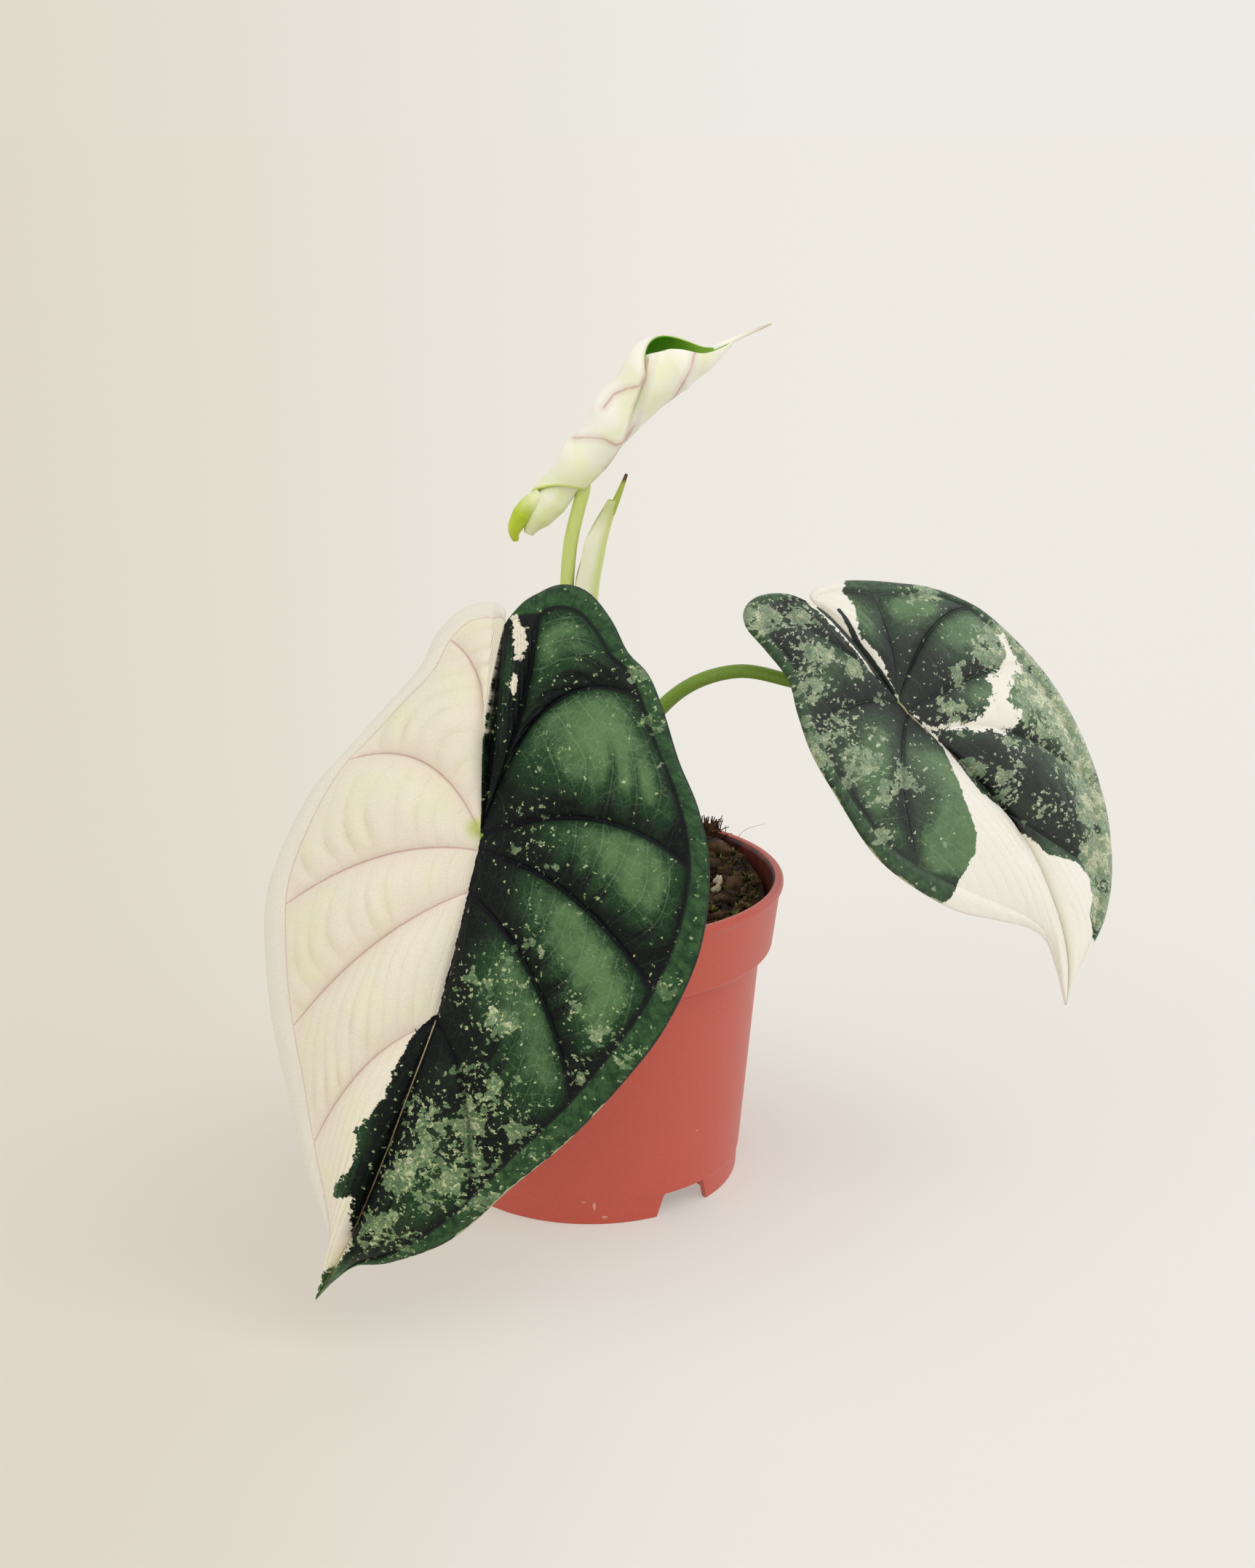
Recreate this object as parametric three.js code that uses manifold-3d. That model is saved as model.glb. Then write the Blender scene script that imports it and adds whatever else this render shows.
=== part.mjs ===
// A young variegated alocasia with quilted shield leaves, standing in a plastic nursery pot.
// Units are millimetres and +Z is up. The pot's axis is the Z axis of the construction.

import * as THREE from 'three';
import { mergeVertices } from 'three/addons/utils/BufferGeometryUtils.js';
import Module from 'manifold-3d';

const wasm = await Module();
wasm.setup();

// Driving dimensions

const CLEARANCE = 0.3; // air left between neighbouring pieces

const POT = {
  height: 73.2,
  rimRadius: 45,
  rimBead: 1.8, // height of the thickened edge at the top
  rimRound: 0.6,
  collarTopRadius: 44.3,
  collarFootRadius: 42.6,
  collarFootZ: 56.4,
  collarRound: 0.8,
  ledge: 1.6, // height of the slope under the collar
  shoulderRadius: 39.7,
  footRadius: 34.8,
  footFlare: 0.35, // how much wider the wall is at the crease than at the foot
  creaseZ: 5.2, // faint step above the foot
  creaseDepth: 0.3,
  wall: 1.3,
  baseUnderside: 3.2,
  basePlate: 1.2,
  sides: 44,
};

const NOTCH = {
  count: 3,
  firstAngle: 38.5, // degrees from the front, towards the right
  footWidth: 18.5,
  topWidth: 11.5,
  height: 5.8,
  innerRadius: 24,
};

const SOIL = {
  surfaceZ: 64.5,
  bumps: 1.6,
  rings: 6,
  spokes: 28,
};

const CHIPS = {
  count: 18,
  seed: 11,
  smallest: 2,
  largest: 3.8,
  width: 0.65, // over the length
  height: 0.5, // over the length
  innerRadius: 13,
  outerRadius: 34.8,
  lift: 0.3,
};

const CROWN = { radius: 9, topRadius: 6.9, depth: 9, rise: 9, footTaper: 2, topTaper: 0.9, sides: 20 };

const BLADE = {
  thickness: 0.9, // measured along the leaf's facing direction
  padRise: 0.13, // height of a quilted pad over its width
  collectiveVein: 0.86, // place of the vein that runs along the margin
  bandRise: 0.7,
  padSteps: [0, 0.16, 0.39, 0.61, 0.84],
  widthSteps: [0, 0.1, 0.27, 0.47, 0.66, 0.8, 0.86, 0.93, 1],
  marginPoints: 240, // samples used to find the place of a vein on a curve
};

// Each blade lies on a plane through its stalk joint. The outlines run from the notch between the
// back lobes to the tip, in [across, along] millimetres seen from the face. The side veins leave the
// midrib in pairs at the roots, and each runs past its elbow to its end on the margin.

const FRONT_LEAF = {
  joint: [-20.8, -68, 104.7],
  azimuth: -14,
  elevation: 20,
  roll: 11.2,
  fold: 0.22,
  droop: 0.13,
  arch: 0.0011,
  archCentre: -25,
  midrib: [[-8.7, 42.6], [-6.4, 30.4], [-3.9, 17.3], [-1.4, 5.7], [0, -2], [1.1, -20.5], [1.2, -37.8],
    [-0.6, -57.3], [-2.4, -72], [-5, -87], [-9.1, -100.6]],
  rightMargin: [[-8.7, 42.6], [-7.2, 49], [-2.3, 53.6], [4, 53.6], [10.8, 49.1], [16.2, 43.6], [21.7, 40.3],
    [27, 34], [33.2, 25], [40, 16.5], [45.5, 5.5], [48, -10], [45.6, -26], [40.5, -39], [32.5, -54],
    [24, -66.3], [14.5, -80.5], [4, -88.6], [-2.6, -91.4], [-6.3, -95.6], [-9.1, -100.6]],
  leftMargin: [[-8.7, 42.6], [-11, 45.7], [-15, 46.4], [-20.5, 43.5], [-23.9, 37], [-24.9, 29.3],
    [-29.5, 19.3], [-34.3, 9.4], [-39.3, -0.5], [-42.4, -13.5], [-43.1, -25], [-39.8, -37.3],
    [-33.5, -52.5], [-26, -65], [-19.7, -76], [-12.2, -85], [-8.9, -90.5], [-8.6, -95.5], [-9.1, -100.6]],
  veinRoots: [[-0.8, 3], [-0.5, 1.5], [-0.2, 0], [0.1, -3], [0.7, -11.5], [1.2, -38.5], [-1.7, -66]],
  rightVeins: [
    { elbow: [-3, 28], end: [0.5, 54.4] },
    { elbow: [1, 38], end: [22.7, 39.6] },
    { elbow: [25, 18], end: [46.7, 2] },
    { elbow: [25, -1], end: [46, -25] },
    { elbow: [20.8, -21.5], end: [34, -52] },
    { elbow: [15.4, -50.7], end: [17, -77.5] },
    { elbow: [4, -77], end: [4.5, -88.4] },
  ],
  leftVeins: [
    { elbow: [-8, 28], end: [-14, 46.5] },
    { elbow: [-10, 33], end: [-25, 29] },
    { elbow: [-18.4, 18.3], end: [-37.3, 4] },
    { elbow: [-20, -5], end: [-42, -30] },
    { elbow: [-17, -24.7], end: [-32.5, -54.5] },
    { elbow: [-13.5, -44.2], end: [-20, -75.5] },
    { elbow: [-8.5, -76], end: [-11, -87] },
  ],
};

const RIGHT_LEAF = {
  joint: [70.5, -5, 115],
  azimuth: 24,
  elevation: 32,
  roll: -29,
  fold: 0.33,
  droop: 0,
  arch: 0.0012,
  archCentre: -15,
  midrib: [[0.9, 29], [0.4, 14.5], [0.2, 0], [1.2, -10.2], [2.8, -21], [3.6, -32.4], [3, -43.4], [0.5, -52.9],
    [-2.6, -62], [-7, -69.5], [-13.5, -75.8]],
  rightMargin: [[0.9, 29], [1.4, 32.3], [5.8, 32.3], [11, 29.9], [16, 26.4], [21.2, 22], [26.8, 16.8],
    [31.3, 10.3], [34.6, 2.5], [36.3, -9], [36.2, -20.5], [34, -32], [30, -43], [24.5, -53], [17, -61.8],
    [9, -67.6], [1.5, -70.4], [-5.6, -72.3], [-10.4, -73.9], [-13.5, -75.8]],
  leftMargin: [[0.9, 29], [-0.8, 32], [-3.6, 36.3], [-8.9, 39.4], [-14, 39], [-16.9, 35.5], [-17.2, 29],
    [-18, 20.5], [-22, 13.3], [-26, 4.5], [-28.2, -6], [-30, -18], [-29.4, -26], [-26.3, -35], [-22, -43.3],
    [-15.5, -50.5], [-9.8, -57], [-8, -62], [-9.8, -67.8], [-12, -72.4], [-13.5, -75.8]],
  veinRoots: [[0.3, 2], [0.2, 0.5], [0.3, -2.5], [1, -9], [3.5, -34], [-0.6, -56]],
  rightVeins: [
    { elbow: [7, 9], end: [15.5, 26.8] },
    { elbow: [21, 15], end: [33.6, 5] },
    { elbow: [17.8, -3.5], end: [36.3, -13] },
    { elbow: [19, -15.6], end: [27.7, -47.5] },
    { elbow: [7, -46], end: [15.5, -63.2] },
    { elbow: [1.4, -64], end: [2, -70.3] },
  ],
  leftVeins: [
    { elbow: [-3, 18], end: [-11, 39.4] },
    { elbow: [-9, 9], end: [-24.4, 8.6] },
    { elbow: [-17, -8], end: [-26, -36] },
    { elbow: [-5.2, -25.6], end: [-21, -44.6] },
    { elbow: [-3, -47], end: [-11.6, -55] },
    { elbow: [-5.5, -61], end: [-8.3, -64] },
  ],
};

// The youngest leaf is still a scroll. Its axis runs from the back lobes to the pointed mouth, and
// the sheet turns round it from the hidden inner margin to the free outer margin.

const SCROLL = {
  axis: [[-14.6, 0, 154.6], [-8.8, 0, 161], [-4.2, 0, 166], [0.5, 0, 170.8], [5.4, 0, 175.8], [10.3, 0, 180.8],
    [15.2, 0, 185.8], [20.2, 0, 189.6], [25.6, 0, 192.6], [31, 0, 195.4]],
  radius: [2.7, 4.3, 5.1, 5.4, 5.8, 6.3, 6.7, 6, 4, 1.3],
  innerAngle: [20, -30, -60, -80, -80, -70, -60, -40, 0, 30],
  outerAngle: [330, 380, 420, 425, 400, 370, 345, 250, 190, 150],
  lobeCut: 0.22, // how far the outer lobe ends before the inner one
  layerPitch: 1.35, // distance between the layers of the sheet
  thickness: 0.75,
  ripple: 0.05,
  ripples: 5,
  lengthSteps: 22,
  turnSteps: 20,
  tail: [[27.5, 0, 193.6], [31.5, 0, 195.6], [35.5, 0, 197.3], [39.8, 0, 199.1]],
  tailRadius: [0.9, 0.75, 0.5, 0.35],
  tailSteps: 6,
};

// Stalks rise from the crown. The front and right ones end at their blade's stalk joint.

const STALK_SIDES = 8;

const FRONT_STALK = {
  points: [[-1.5, -5.8, 68], [-4, -12, 88], [-9, -27, 105.5], [-14.5, -44, 110.5], [-18.5, -58, 106.5]],
  radii: [2.7, 2.2, 1.9, 1.7, 1.6, 1.5, 1.5],
  steps: 22,
};

const RIGHT_STALK = {
  points: [[5.2, 0.8, 68], [7.2, 2.5, 88], [12.5, 5, 106], [22, 5, 116.3], [34, 5, 120.2], [46, 4, 118.2],
    [59, 1.5, 114.5]],
  radii: [2.7, 2.3, 2, 1.8, 1.65, 1.6, 1.55, 1.5, 1.5],
  steps: 28,
};

const YOUNG_STALK = {
  points: [[-2.6, 2.6, 68], [-3.9, 1.6, 92], [-4.9, 0.4, 120], [-5, 0, 141], [-4.1, 0, 151], [-3, 0, 156],
    [-1.8, 0, 160.5], [-0.7, 0, 164], [-0.6, 0, 168]],
  radii: [2.6, 2.1, 1.8, 1.6, 1.55, 1.5, 1.5, 1.5],
  steps: 26,
};

// The papery sheath clasps the young stalk, drifts off its right side and ends in a withered point.
// Each section is an open oval at a height, with its gap on the left.

const SHEATH = {
  z: [73.8, 90, 105, 120, 132, 143, 152, 160.6],
  centreX: [-2.9, -3.8, -3.9, -3.6, -2.6, -1, 1.25, 5],
  centreY: [2.3, 1.7, 0.9, 0.3, 0, 0, 0, 0],
  radiusX: [3.6, 3.3, 3.4, 3.9, 3.9, 3.5, 2.95, 1.5],
  radiusY: [3.6, 3.3, 3.2, 3, 3, 2.6, 1.9, 1.1],
  halfWrap: [150, 150, 140, 130, 118, 122, 130, 125],
  thickness: 0.65,
  steps: 16,
  arcSteps: 8,
  point: [[5, 0, 157.5], [5.9, 0, 160], [7.1, 0, 163], [8.4, 0, 166.4]],
  pointRadius: [0.8, 0.8, 0.6, 0.35],
  pointSteps: 5,
};

// Colours

const paint = (colour, roughness) => new THREE.MeshStandardMaterial({ color: colour, roughness, metalness: 0 });
const POT_RED = paint(0xc45244, 0.45);
const SOIL_BROWN = paint(0x33261c, 0.95);
const STALK_GREEN = paint(0x8aa03a, 0.5);
const CROWN_TAN = paint(0x7d6a3e, 0.8);
const QUILTED_GREEN = paint(0x28442f, 0.45);
const MOTTLED_GREEN = paint(0x4b6a4c, 0.45);
const CREAM = paint(0xeeebd8, 0.55);
const PAPERY_GREEN = paint(0xd3d6ae, 0.6);

// Helpers

function seededRandom(seed) {
  let state = seed >>> 0;
  return () => {
    state = (Math.imul(state, 1664525) + 1013904223) >>> 0;
    return state / 4294967296;
  };
}

function toManifold(geometry) {
  const bare = geometry.clone();
  bare.deleteAttribute('normal');
  bare.deleteAttribute('uv');
  const merged = mergeVertices(bare, 1e-4);
  const indices = [];
  const source = merged.index.array;
  for (let k = 0; k < source.length; k += 3) {
    const [a, b, c] = [source[k], source[k + 1], source[k + 2]];
    if (a !== b && b !== c && c !== a) indices.push(a, b, c);
  }
  return new wasm.Manifold(new wasm.Mesh({
    numProp: 3,
    vertProperties: new Float32Array(merged.attributes.position.array),
    triVerts: new Uint32Array(indices),
  }));
}

function toGeometry(solid) {
  const { vertProperties, triVerts } = solid.getMesh();
  const geometry = new THREE.BufferGeometry();
  geometry.setAttribute('position', new THREE.BufferAttribute(new Float32Array(vertProperties), 3));
  geometry.setIndex(new THREE.BufferAttribute(new Uint32Array(triVerts), 1));
  geometry.computeVertexNormals();
  return geometry;
}

function largestPiece(solid) {
  const pieces = solid.decompose();
  return pieces.reduce((best, piece) => (piece.volume() > best.volume() ? piece : best));
}

function named(name, solid, material) {
  const mesh = new THREE.Mesh(toGeometry(solid), material);
  mesh.name = name;
  return mesh;
}

function trianglesToGeometry(triangles) {
  const positions = new Float32Array(triangles.length * 9);
  triangles.flat().forEach((point, index) => point.toArray(positions, index * 3));
  const geometry = new THREE.BufferGeometry();
  geometry.setAttribute('position', new THREE.BufferAttribute(positions, 3));
  return geometry;
}

// Joins rows of points into a surface, with the same diagonal in every cell.
function gridTriangles(rows, flipped) {
  const triangles = [];
  for (let i = 0; i + 1 < rows.length; i += 1) {
    for (let j = 0; j + 1 < rows[i].length; j += 1) {
      const [a, b, c, d] = [rows[i][j], rows[i + 1][j], rows[i + 1][j + 1], rows[i][j + 1]];
      triangles.push(flipped ? [a, c, b] : [a, b, c]);
      triangles.push(flipped ? [a, d, c] : [a, c, d]);
    }
  }
  return triangles;
}

// Closes a thin sheet whose rows run along it and whose columns run round it anticlockwise.
function sheetSolid(outside, inside) {
  const lastRow = outside.length - 1;
  const lastColumn = outside[0].length - 1;
  const pair = (from, to) => from.map((point, index) => [point, to[index]]);
  const column = (rows, j) => rows.map((row) => row[j]);
  return toManifold(trianglesToGeometry([
    ...gridTriangles(outside, true),
    ...gridTriangles(inside, false),
    ...gridTriangles(pair(column(outside, 0), column(inside, 0)), false),
    ...gridTriangles(pair(column(outside, lastColumn), column(inside, lastColumn)), true),
    ...gridTriangles(pair(outside[0], inside[0]), true),
    ...gridTriangles(pair(outside[lastRow], inside[lastRow]), false),
  ]));
}

function interpolate(list, fraction) {
  const place = fraction * (list.length - 1);
  const index = Math.min(Math.floor(place), list.length - 2);
  return THREE.MathUtils.lerp(list[index], list[index + 1], place - index);
}

const vector = (point) => new THREE.Vector3(...point);

// Joins rings of points, each ending where it starts, and closes both ends.
function closedTube(rings) {
  const triangles = gridTriangles(rings, true);
  const [first, last] = [rings[0], rings[rings.length - 1]];
  for (let k = 1; k + 2 < first.length; k += 1) {
    triangles.push([first[0], first[k + 1], first[k]]);
    triangles.push([last[0], last[k], last[k + 1]]);
  }
  return toManifold(trianglesToGeometry(triangles));
}

// Stalks: round sections swept along a smooth curve

function sweptTube(points, radii, steps, extraRadius = 0) {
  const curve = new THREE.CatmullRomCurve3(points.map(vector), false, 'centripetal');
  const frames = curve.computeFrenetFrames(steps);
  const rows = [];
  for (let i = 0; i <= steps; i += 1) {
    const centre = curve.getPointAt(i / steps);
    const radius = interpolate(radii, i / steps) + extraRadius;
    const ring = [];
    for (let k = 0; k <= STALK_SIDES; k += 1) {
      const angle = ((k % STALK_SIDES) / STALK_SIDES) * Math.PI * 2;
      ring.push(centre.clone()
        .addScaledVector(frames.normals[i], Math.cos(angle) * radius)
        .addScaledVector(frames.binormals[i], Math.sin(angle) * radius));
    }
    rows.push(ring);
  }
  return closedTube(rows);
}

function stalkToBlade(stalk, leaf) {
  const { joint, facing } = leafFrame(leaf);
  const seat = BLADE.thickness + leafBack(leaf) + CLEARANCE;
  const near = joint.clone().addScaledVector(facing, -seat);
  const before = joint.clone().addScaledVector(facing, -seat - 3);
  return { ...stalk, points: [...stalk.points, before.toArray(), near.toArray()] };
}

const makeStalk = (stalk, extra = 0) => sweptTube(stalk.points, stalk.radii, stalk.steps, extra);

// Open leaf blades

function leafFrame(leaf) {
  const azimuth = THREE.MathUtils.degToRad(leaf.azimuth);
  const elevation = THREE.MathUtils.degToRad(leaf.elevation);
  const roll = THREE.MathUtils.degToRad(leaf.roll);
  const facing = new THREE.Vector3(
    Math.sin(azimuth) * Math.cos(elevation),
    -Math.cos(azimuth) * Math.cos(elevation),
    Math.sin(elevation),
  );
  const steepest = new THREE.Vector3(
    -Math.sin(azimuth) * Math.sin(elevation),
    Math.cos(azimuth) * Math.sin(elevation),
    Math.cos(elevation),
  );
  const along = steepest.applyAxisAngle(facing, -roll);
  const across = along.clone().cross(facing);
  return { joint: vector(leaf.joint), facing, along, across };
}

const archDrop = (leaf, b) => leaf.arch * (b - leaf.archCentre) ** 2;
const leafBack = (leaf) => archDrop(leaf, 0);

function nearestFraction(curve, [x, y]) {
  let best = 0;
  let bestDistance = Infinity;
  curve.getSpacedPoints(BLADE.marginPoints).forEach((point, index) => {
    const distance = Math.hypot(point.x - x, point.y - y);
    if (distance < bestDistance) [best, bestDistance] = [index / BLADE.marginPoints, distance];
  });
  return best;
}

const spline = (points) => new THREE.SplineCurve(points.map(([x, y]) => new THREE.Vector2(x, y)));

// One half of a blade: its side veins in order, with the notch and the tip as first and last.
function halfBlade(leaf, marginPoints, veins) {
  const midrib = spline(leaf.midrib);
  const margin = spline(marginPoints);
  const notch = marginPoints[0];
  const tip = marginPoints[marginPoints.length - 1];
  const lines = [
    { root: 0, end: 0, elbow: notch },
    ...veins.map(({ elbow, end }, index) => (
      { root: nearestFraction(midrib, leaf.veinRoots[index]), end: nearestFraction(margin, end), elbow }
    )),
    { root: 1, end: 1, elbow: tip },
  ];
  return { leaf, midrib, margin, lines };
}

// The place on the leaf plane of width v on the vein line u, and the length of that line.
function planePoint(half, u, v) {
  const index = Math.min(Math.floor(u), half.lines.length - 2);
  const blend = u - index;
  const [from, to] = [half.lines[index], half.lines[index + 1]];
  const root = half.midrib.getPointAt(THREE.MathUtils.lerp(from.root, to.root, blend));
  const end = half.margin.getPointAt(THREE.MathUtils.lerp(from.end, to.end, blend));
  const elbow = new THREE.Vector2(
    THREE.MathUtils.lerp(from.elbow[0], to.elbow[0], blend),
    THREE.MathUtils.lerp(from.elbow[1], to.elbow[1], blend),
  );
  const point = root.clone().multiplyScalar((1 - v) ** 2)
    .addScaledVector(elbow, 2 * v * (1 - v))
    .addScaledVector(end, v * v);
  return { point, length: root.distanceTo(end) };
}

// Quilted relief: pads bulge between the sunken veins, and a raised band follows the margin.
function relief(half, u, v, length) {
  if (v >= BLADE.collectiveVein) {
    const across = (v - BLADE.collectiveVein) / (1 - BLADE.collectiveVein);
    return BLADE.bandRise * Math.min(1, length / 20) * Math.sin(Math.PI * across);
  }
  const index = Math.min(Math.floor(u), half.lines.length - 2);
  const spacing = planePoint(half, index, v).point.distanceTo(planePoint(half, index + 1, v).point);
  const between = Math.max(0, Math.sin(Math.PI * (u - index))) ** 0.8;
  const outward = Math.sin((Math.PI * v) / BLADE.collectiveVein) ** 0.6;
  return BLADE.padRise * spacing * between * outward;
}

function bladeRows(half, lowered) {
  const { leaf } = half;
  const { joint, facing, along, across } = leafFrame(leaf);
  const rows = [];
  const lastLine = half.lines.length - 1;
  const stations = [];
  for (let line = 0; line < lastLine; line += 1) BLADE.padSteps.forEach((step) => stations.push(line + step));
  stations.push(lastLine);
  stations.forEach((u) => {
    rows.push(BLADE.widthSteps.map((v) => {
      const { point, length } = planePoint(half, u, v);
      const height = length * (leaf.fold * v - (leaf.fold + leaf.droop) * v * v)
        - archDrop(leaf, point.y) + relief(half, u, v, length) - lowered;
      return joint.clone()
        .addScaledVector(across, point.x)
        .addScaledVector(along, point.y)
        .addScaledVector(facing, height);
    }));
  });
  return rows;
}

function makeBlade(leaf) {
  const triangles = [];
  [['rightMargin', 'rightVeins', false], ['leftMargin', 'leftVeins', true]].forEach(([margin, veins, flipped]) => {
    const half = halfBlade(leaf, leaf[margin], leaf[veins]);
    const face = bladeRows(half, 0);
    const back = bladeRows(half, BLADE.thickness);
    const edge = face.map((row, index) => [row[row.length - 1], back[index][row.length - 1]]);
    triangles.push(...gridTriangles(face, flipped));
    triangles.push(...gridTriangles(back, !flipped));
    triangles.push(...gridTriangles(edge, flipped));
  });
  return toManifold(trianglesToGeometry(triangles));
}

// The rolled leaf

function scrollCurve() {
  return new THREE.CatmullRomCurve3(SCROLL.axis.map(vector), false, 'centripetal');
}

function scrollPoint(curve, length, turn, inset) {
  const start = SCROLL.lobeCut * THREE.MathUtils.smoothstep(turn, 0.6, 1);
  const place = THREE.MathUtils.lerp(start, 1, length);
  const centre = curve.getPoint(place);
  const axis = curve.getTangent(place);
  const front = new THREE.Vector3(0, -1, 0);
  const lowerRight = axis.clone().cross(front).normalize();
  const inner = interpolate(SCROLL.innerAngle, place);
  const outer = interpolate(SCROLL.outerAngle, place);
  const degrees = THREE.MathUtils.lerp(inner, outer, turn);
  const angle = THREE.MathUtils.degToRad(degrees);
  const swell = 1 + SCROLL.ripple * Math.sin(place * SCROLL.ripples * 2 * Math.PI + angle);
  const radius = interpolate(SCROLL.radius, place) * swell
    - (SCROLL.layerPitch * (outer - degrees)) / 360 - inset;
  return centre.addScaledVector(front, Math.cos(angle) * radius)
    .addScaledVector(lowerRight, Math.sin(angle) * radius);
}

function makeScroll() {
  const curve = scrollCurve();
  const sheet = (inset) => Array.from({ length: SCROLL.lengthSteps + 1 }, (_, i) => (
    Array.from({ length: SCROLL.turnSteps + 1 }, (__, j) => (
      scrollPoint(curve, i / SCROLL.lengthSteps, j / SCROLL.turnSteps, inset)
    ))
  ));
  const tail = sweptTube(SCROLL.tail, SCROLL.tailRadius, SCROLL.tailSteps);
  return sheetSolid(sheet(0), sheet(SCROLL.thickness)).add(tail);
}

// The space inside the scroll's outermost turn, with the clearance round it.
function scrollEnvelope() {
  const curve = scrollCurve();
  return closedTube(Array.from({ length: SCROLL.lengthSteps + 1 }, (_, i) => {
    const length = i / SCROLL.lengthSteps;
    const [inner, outer] = [interpolate(SCROLL.innerAngle, length), interpolate(SCROLL.outerAngle, length)];
    const start = Math.max(0, (outer - 360 - inner) / (outer - inner));
    const ring = Array.from({ length: 2 * SCROLL.turnSteps }, (__, j) => (
      scrollPoint(curve, length, THREE.MathUtils.lerp(start, 1, j / (2 * SCROLL.turnSteps - 1)), -CLEARANCE)
    ));
    return [...ring, ring[0]];
  }));
}

// The sheath beside the young stalk

function makeSheath() {
  const shell = (inset) => Array.from({ length: SHEATH.steps + 1 }, (_, i) => {
    const at = (list) => interpolate(list, i / SHEATH.steps);
    const halfWrap = THREE.MathUtils.degToRad(at(SHEATH.halfWrap));
    return Array.from({ length: SHEATH.arcSteps + 1 }, (__, j) => {
      const angle = ((2 * j) / SHEATH.arcSteps - 1) * halfWrap;
      const x = at(SHEATH.centreX) + (at(SHEATH.radiusX) - inset) * Math.cos(angle);
      const y = at(SHEATH.centreY) + (at(SHEATH.radiusY) - inset) * Math.sin(angle);
      return new THREE.Vector3(x, y, at(SHEATH.z));
    });
  });
  const point = sweptTube(SHEATH.point, SHEATH.pointRadius, SHEATH.pointSteps);
  return sheetSolid(shell(0), shell(SHEATH.thickness)).add(point);
}

// Pot

function potInside() {
  return {
    foot: [POT.footRadius + 0.25 - POT.wall, POT.baseUnderside + POT.basePlate],
    shoulder: [POT.shoulderRadius - POT.wall, POT.collarFootZ - POT.ledge - 0.2],
    collar: [POT.collarFootRadius - 0.2 - POT.wall, POT.collarFootZ + 0.6],
  };
}

function potProfile() {
  const p = POT;
  const inside = potInside();
  const beadZ = p.height - p.rimBead;
  const creaseRadius = p.footRadius + p.footFlare;
  const innerRim = p.collarTopRadius - p.wall;
  const innerFoot = p.footRadius - p.wall;
  return [
    [0, p.baseUnderside],
    [innerFoot, p.baseUnderside],
    [innerFoot - 0.2, 0],
    [p.footRadius, 0],
    [creaseRadius, p.creaseZ],
    [creaseRadius + p.creaseDepth, p.creaseZ + 2 * p.creaseDepth],
    [p.shoulderRadius, p.collarFootZ - p.ledge],
    [p.collarFootRadius - p.collarRound, p.collarFootZ],
    [p.collarFootRadius, p.collarFootZ + p.collarRound],
    [p.collarTopRadius, beadZ - p.collarRound],
    [p.rimRadius, beadZ],
    [p.rimRadius, p.height - p.rimRound],
    [p.rimRadius - p.rimRound, p.height],
    [innerRim + 0.2, p.height],
    [innerRim - 0.5, p.height - 1],
    inside.collar,
    inside.shoulder,
    inside.foot,
    [0, p.baseUnderside + p.basePlate],
  ].map(([radius, z]) => new THREE.Vector2(radius, z));
}

function revolved(profile, sides) {
  const geometry = new THREE.LatheGeometry(profile, sides);
  geometry.rotateX(Math.PI / 2);
  return toManifold(geometry);
}

function notchCutter(angle) {
  const { footWidth, topWidth, height, innerRadius } = NOTCH;
  const below = 1;
  const shape = new THREE.Shape([
    new THREE.Vector2(-footWidth / 2, -below),
    new THREE.Vector2(footWidth / 2, -below),
    new THREE.Vector2(topWidth / 2, height),
    new THREE.Vector2(-topWidth / 2, height),
  ]);
  const geometry = new THREE.ExtrudeGeometry(shape, { depth: POT.rimRadius - innerRadius, bevelEnabled: false });
  geometry.rotateX(Math.PI / 2);
  geometry.translate(0, -innerRadius, 0);
  geometry.rotateZ(THREE.MathUtils.degToRad(angle));
  return toManifold(geometry);
}

function makePot() {
  let solid = revolved(potProfile(), POT.sides);
  for (let k = 0; k < NOTCH.count; k += 1) {
    solid = solid.subtract(notchCutter(NOTCH.firstAngle + (k * 360) / NOTCH.count));
  }
  return solid;
}

// Soil: a plug that follows the pot's inside and ends in a bumpy surface

function soilTop(radius, angle) {
  const slow = Math.sin(radius * 0.31 + 2.1 * Math.cos(angle)) + Math.cos(radius * 0.23 - 3 * angle);
  const fast = Math.sin(radius * 0.9 + 5 * angle) * Math.min(1, radius / 20);
  return SOIL.surfaceZ + SOIL.bumps * (0.4 * slow + 0.25 * fast);
}

function makePlug() {
  const inside = potInside();
  const levels = [
    [inside.foot[0] - CLEARANCE, inside.foot[1] + CLEARANCE],
    [inside.shoulder[0] - CLEARANCE, inside.shoulder[1] + CLEARANCE],
    [inside.collar[0] - CLEARANCE, inside.collar[1] + 2 * CLEARANCE],
  ];
  const edge = levels[2][0];
  const ring = (radius, zAt) => Array.from({ length: SOIL.spokes + 1 }, (_, k) => {
    const angle = ((k % SOIL.spokes) / SOIL.spokes) * 2 * Math.PI;
    return new THREE.Vector3(Math.cos(angle) * radius, Math.sin(angle) * radius, zAt(radius, angle));
  });
  const rows = [ring(0, () => levels[0][1])];
  levels.forEach(([radius, z]) => rows.push(ring(radius, () => z)));
  for (let k = 0; k < SOIL.rings; k += 1) rows.push(ring(edge * (1 - k / SOIL.rings), soilTop));
  rows.push(ring(0, () => soilTop(0, 0)));
  return toManifold(trianglesToGeometry(gridTriangles(rows, true)));
}

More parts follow.
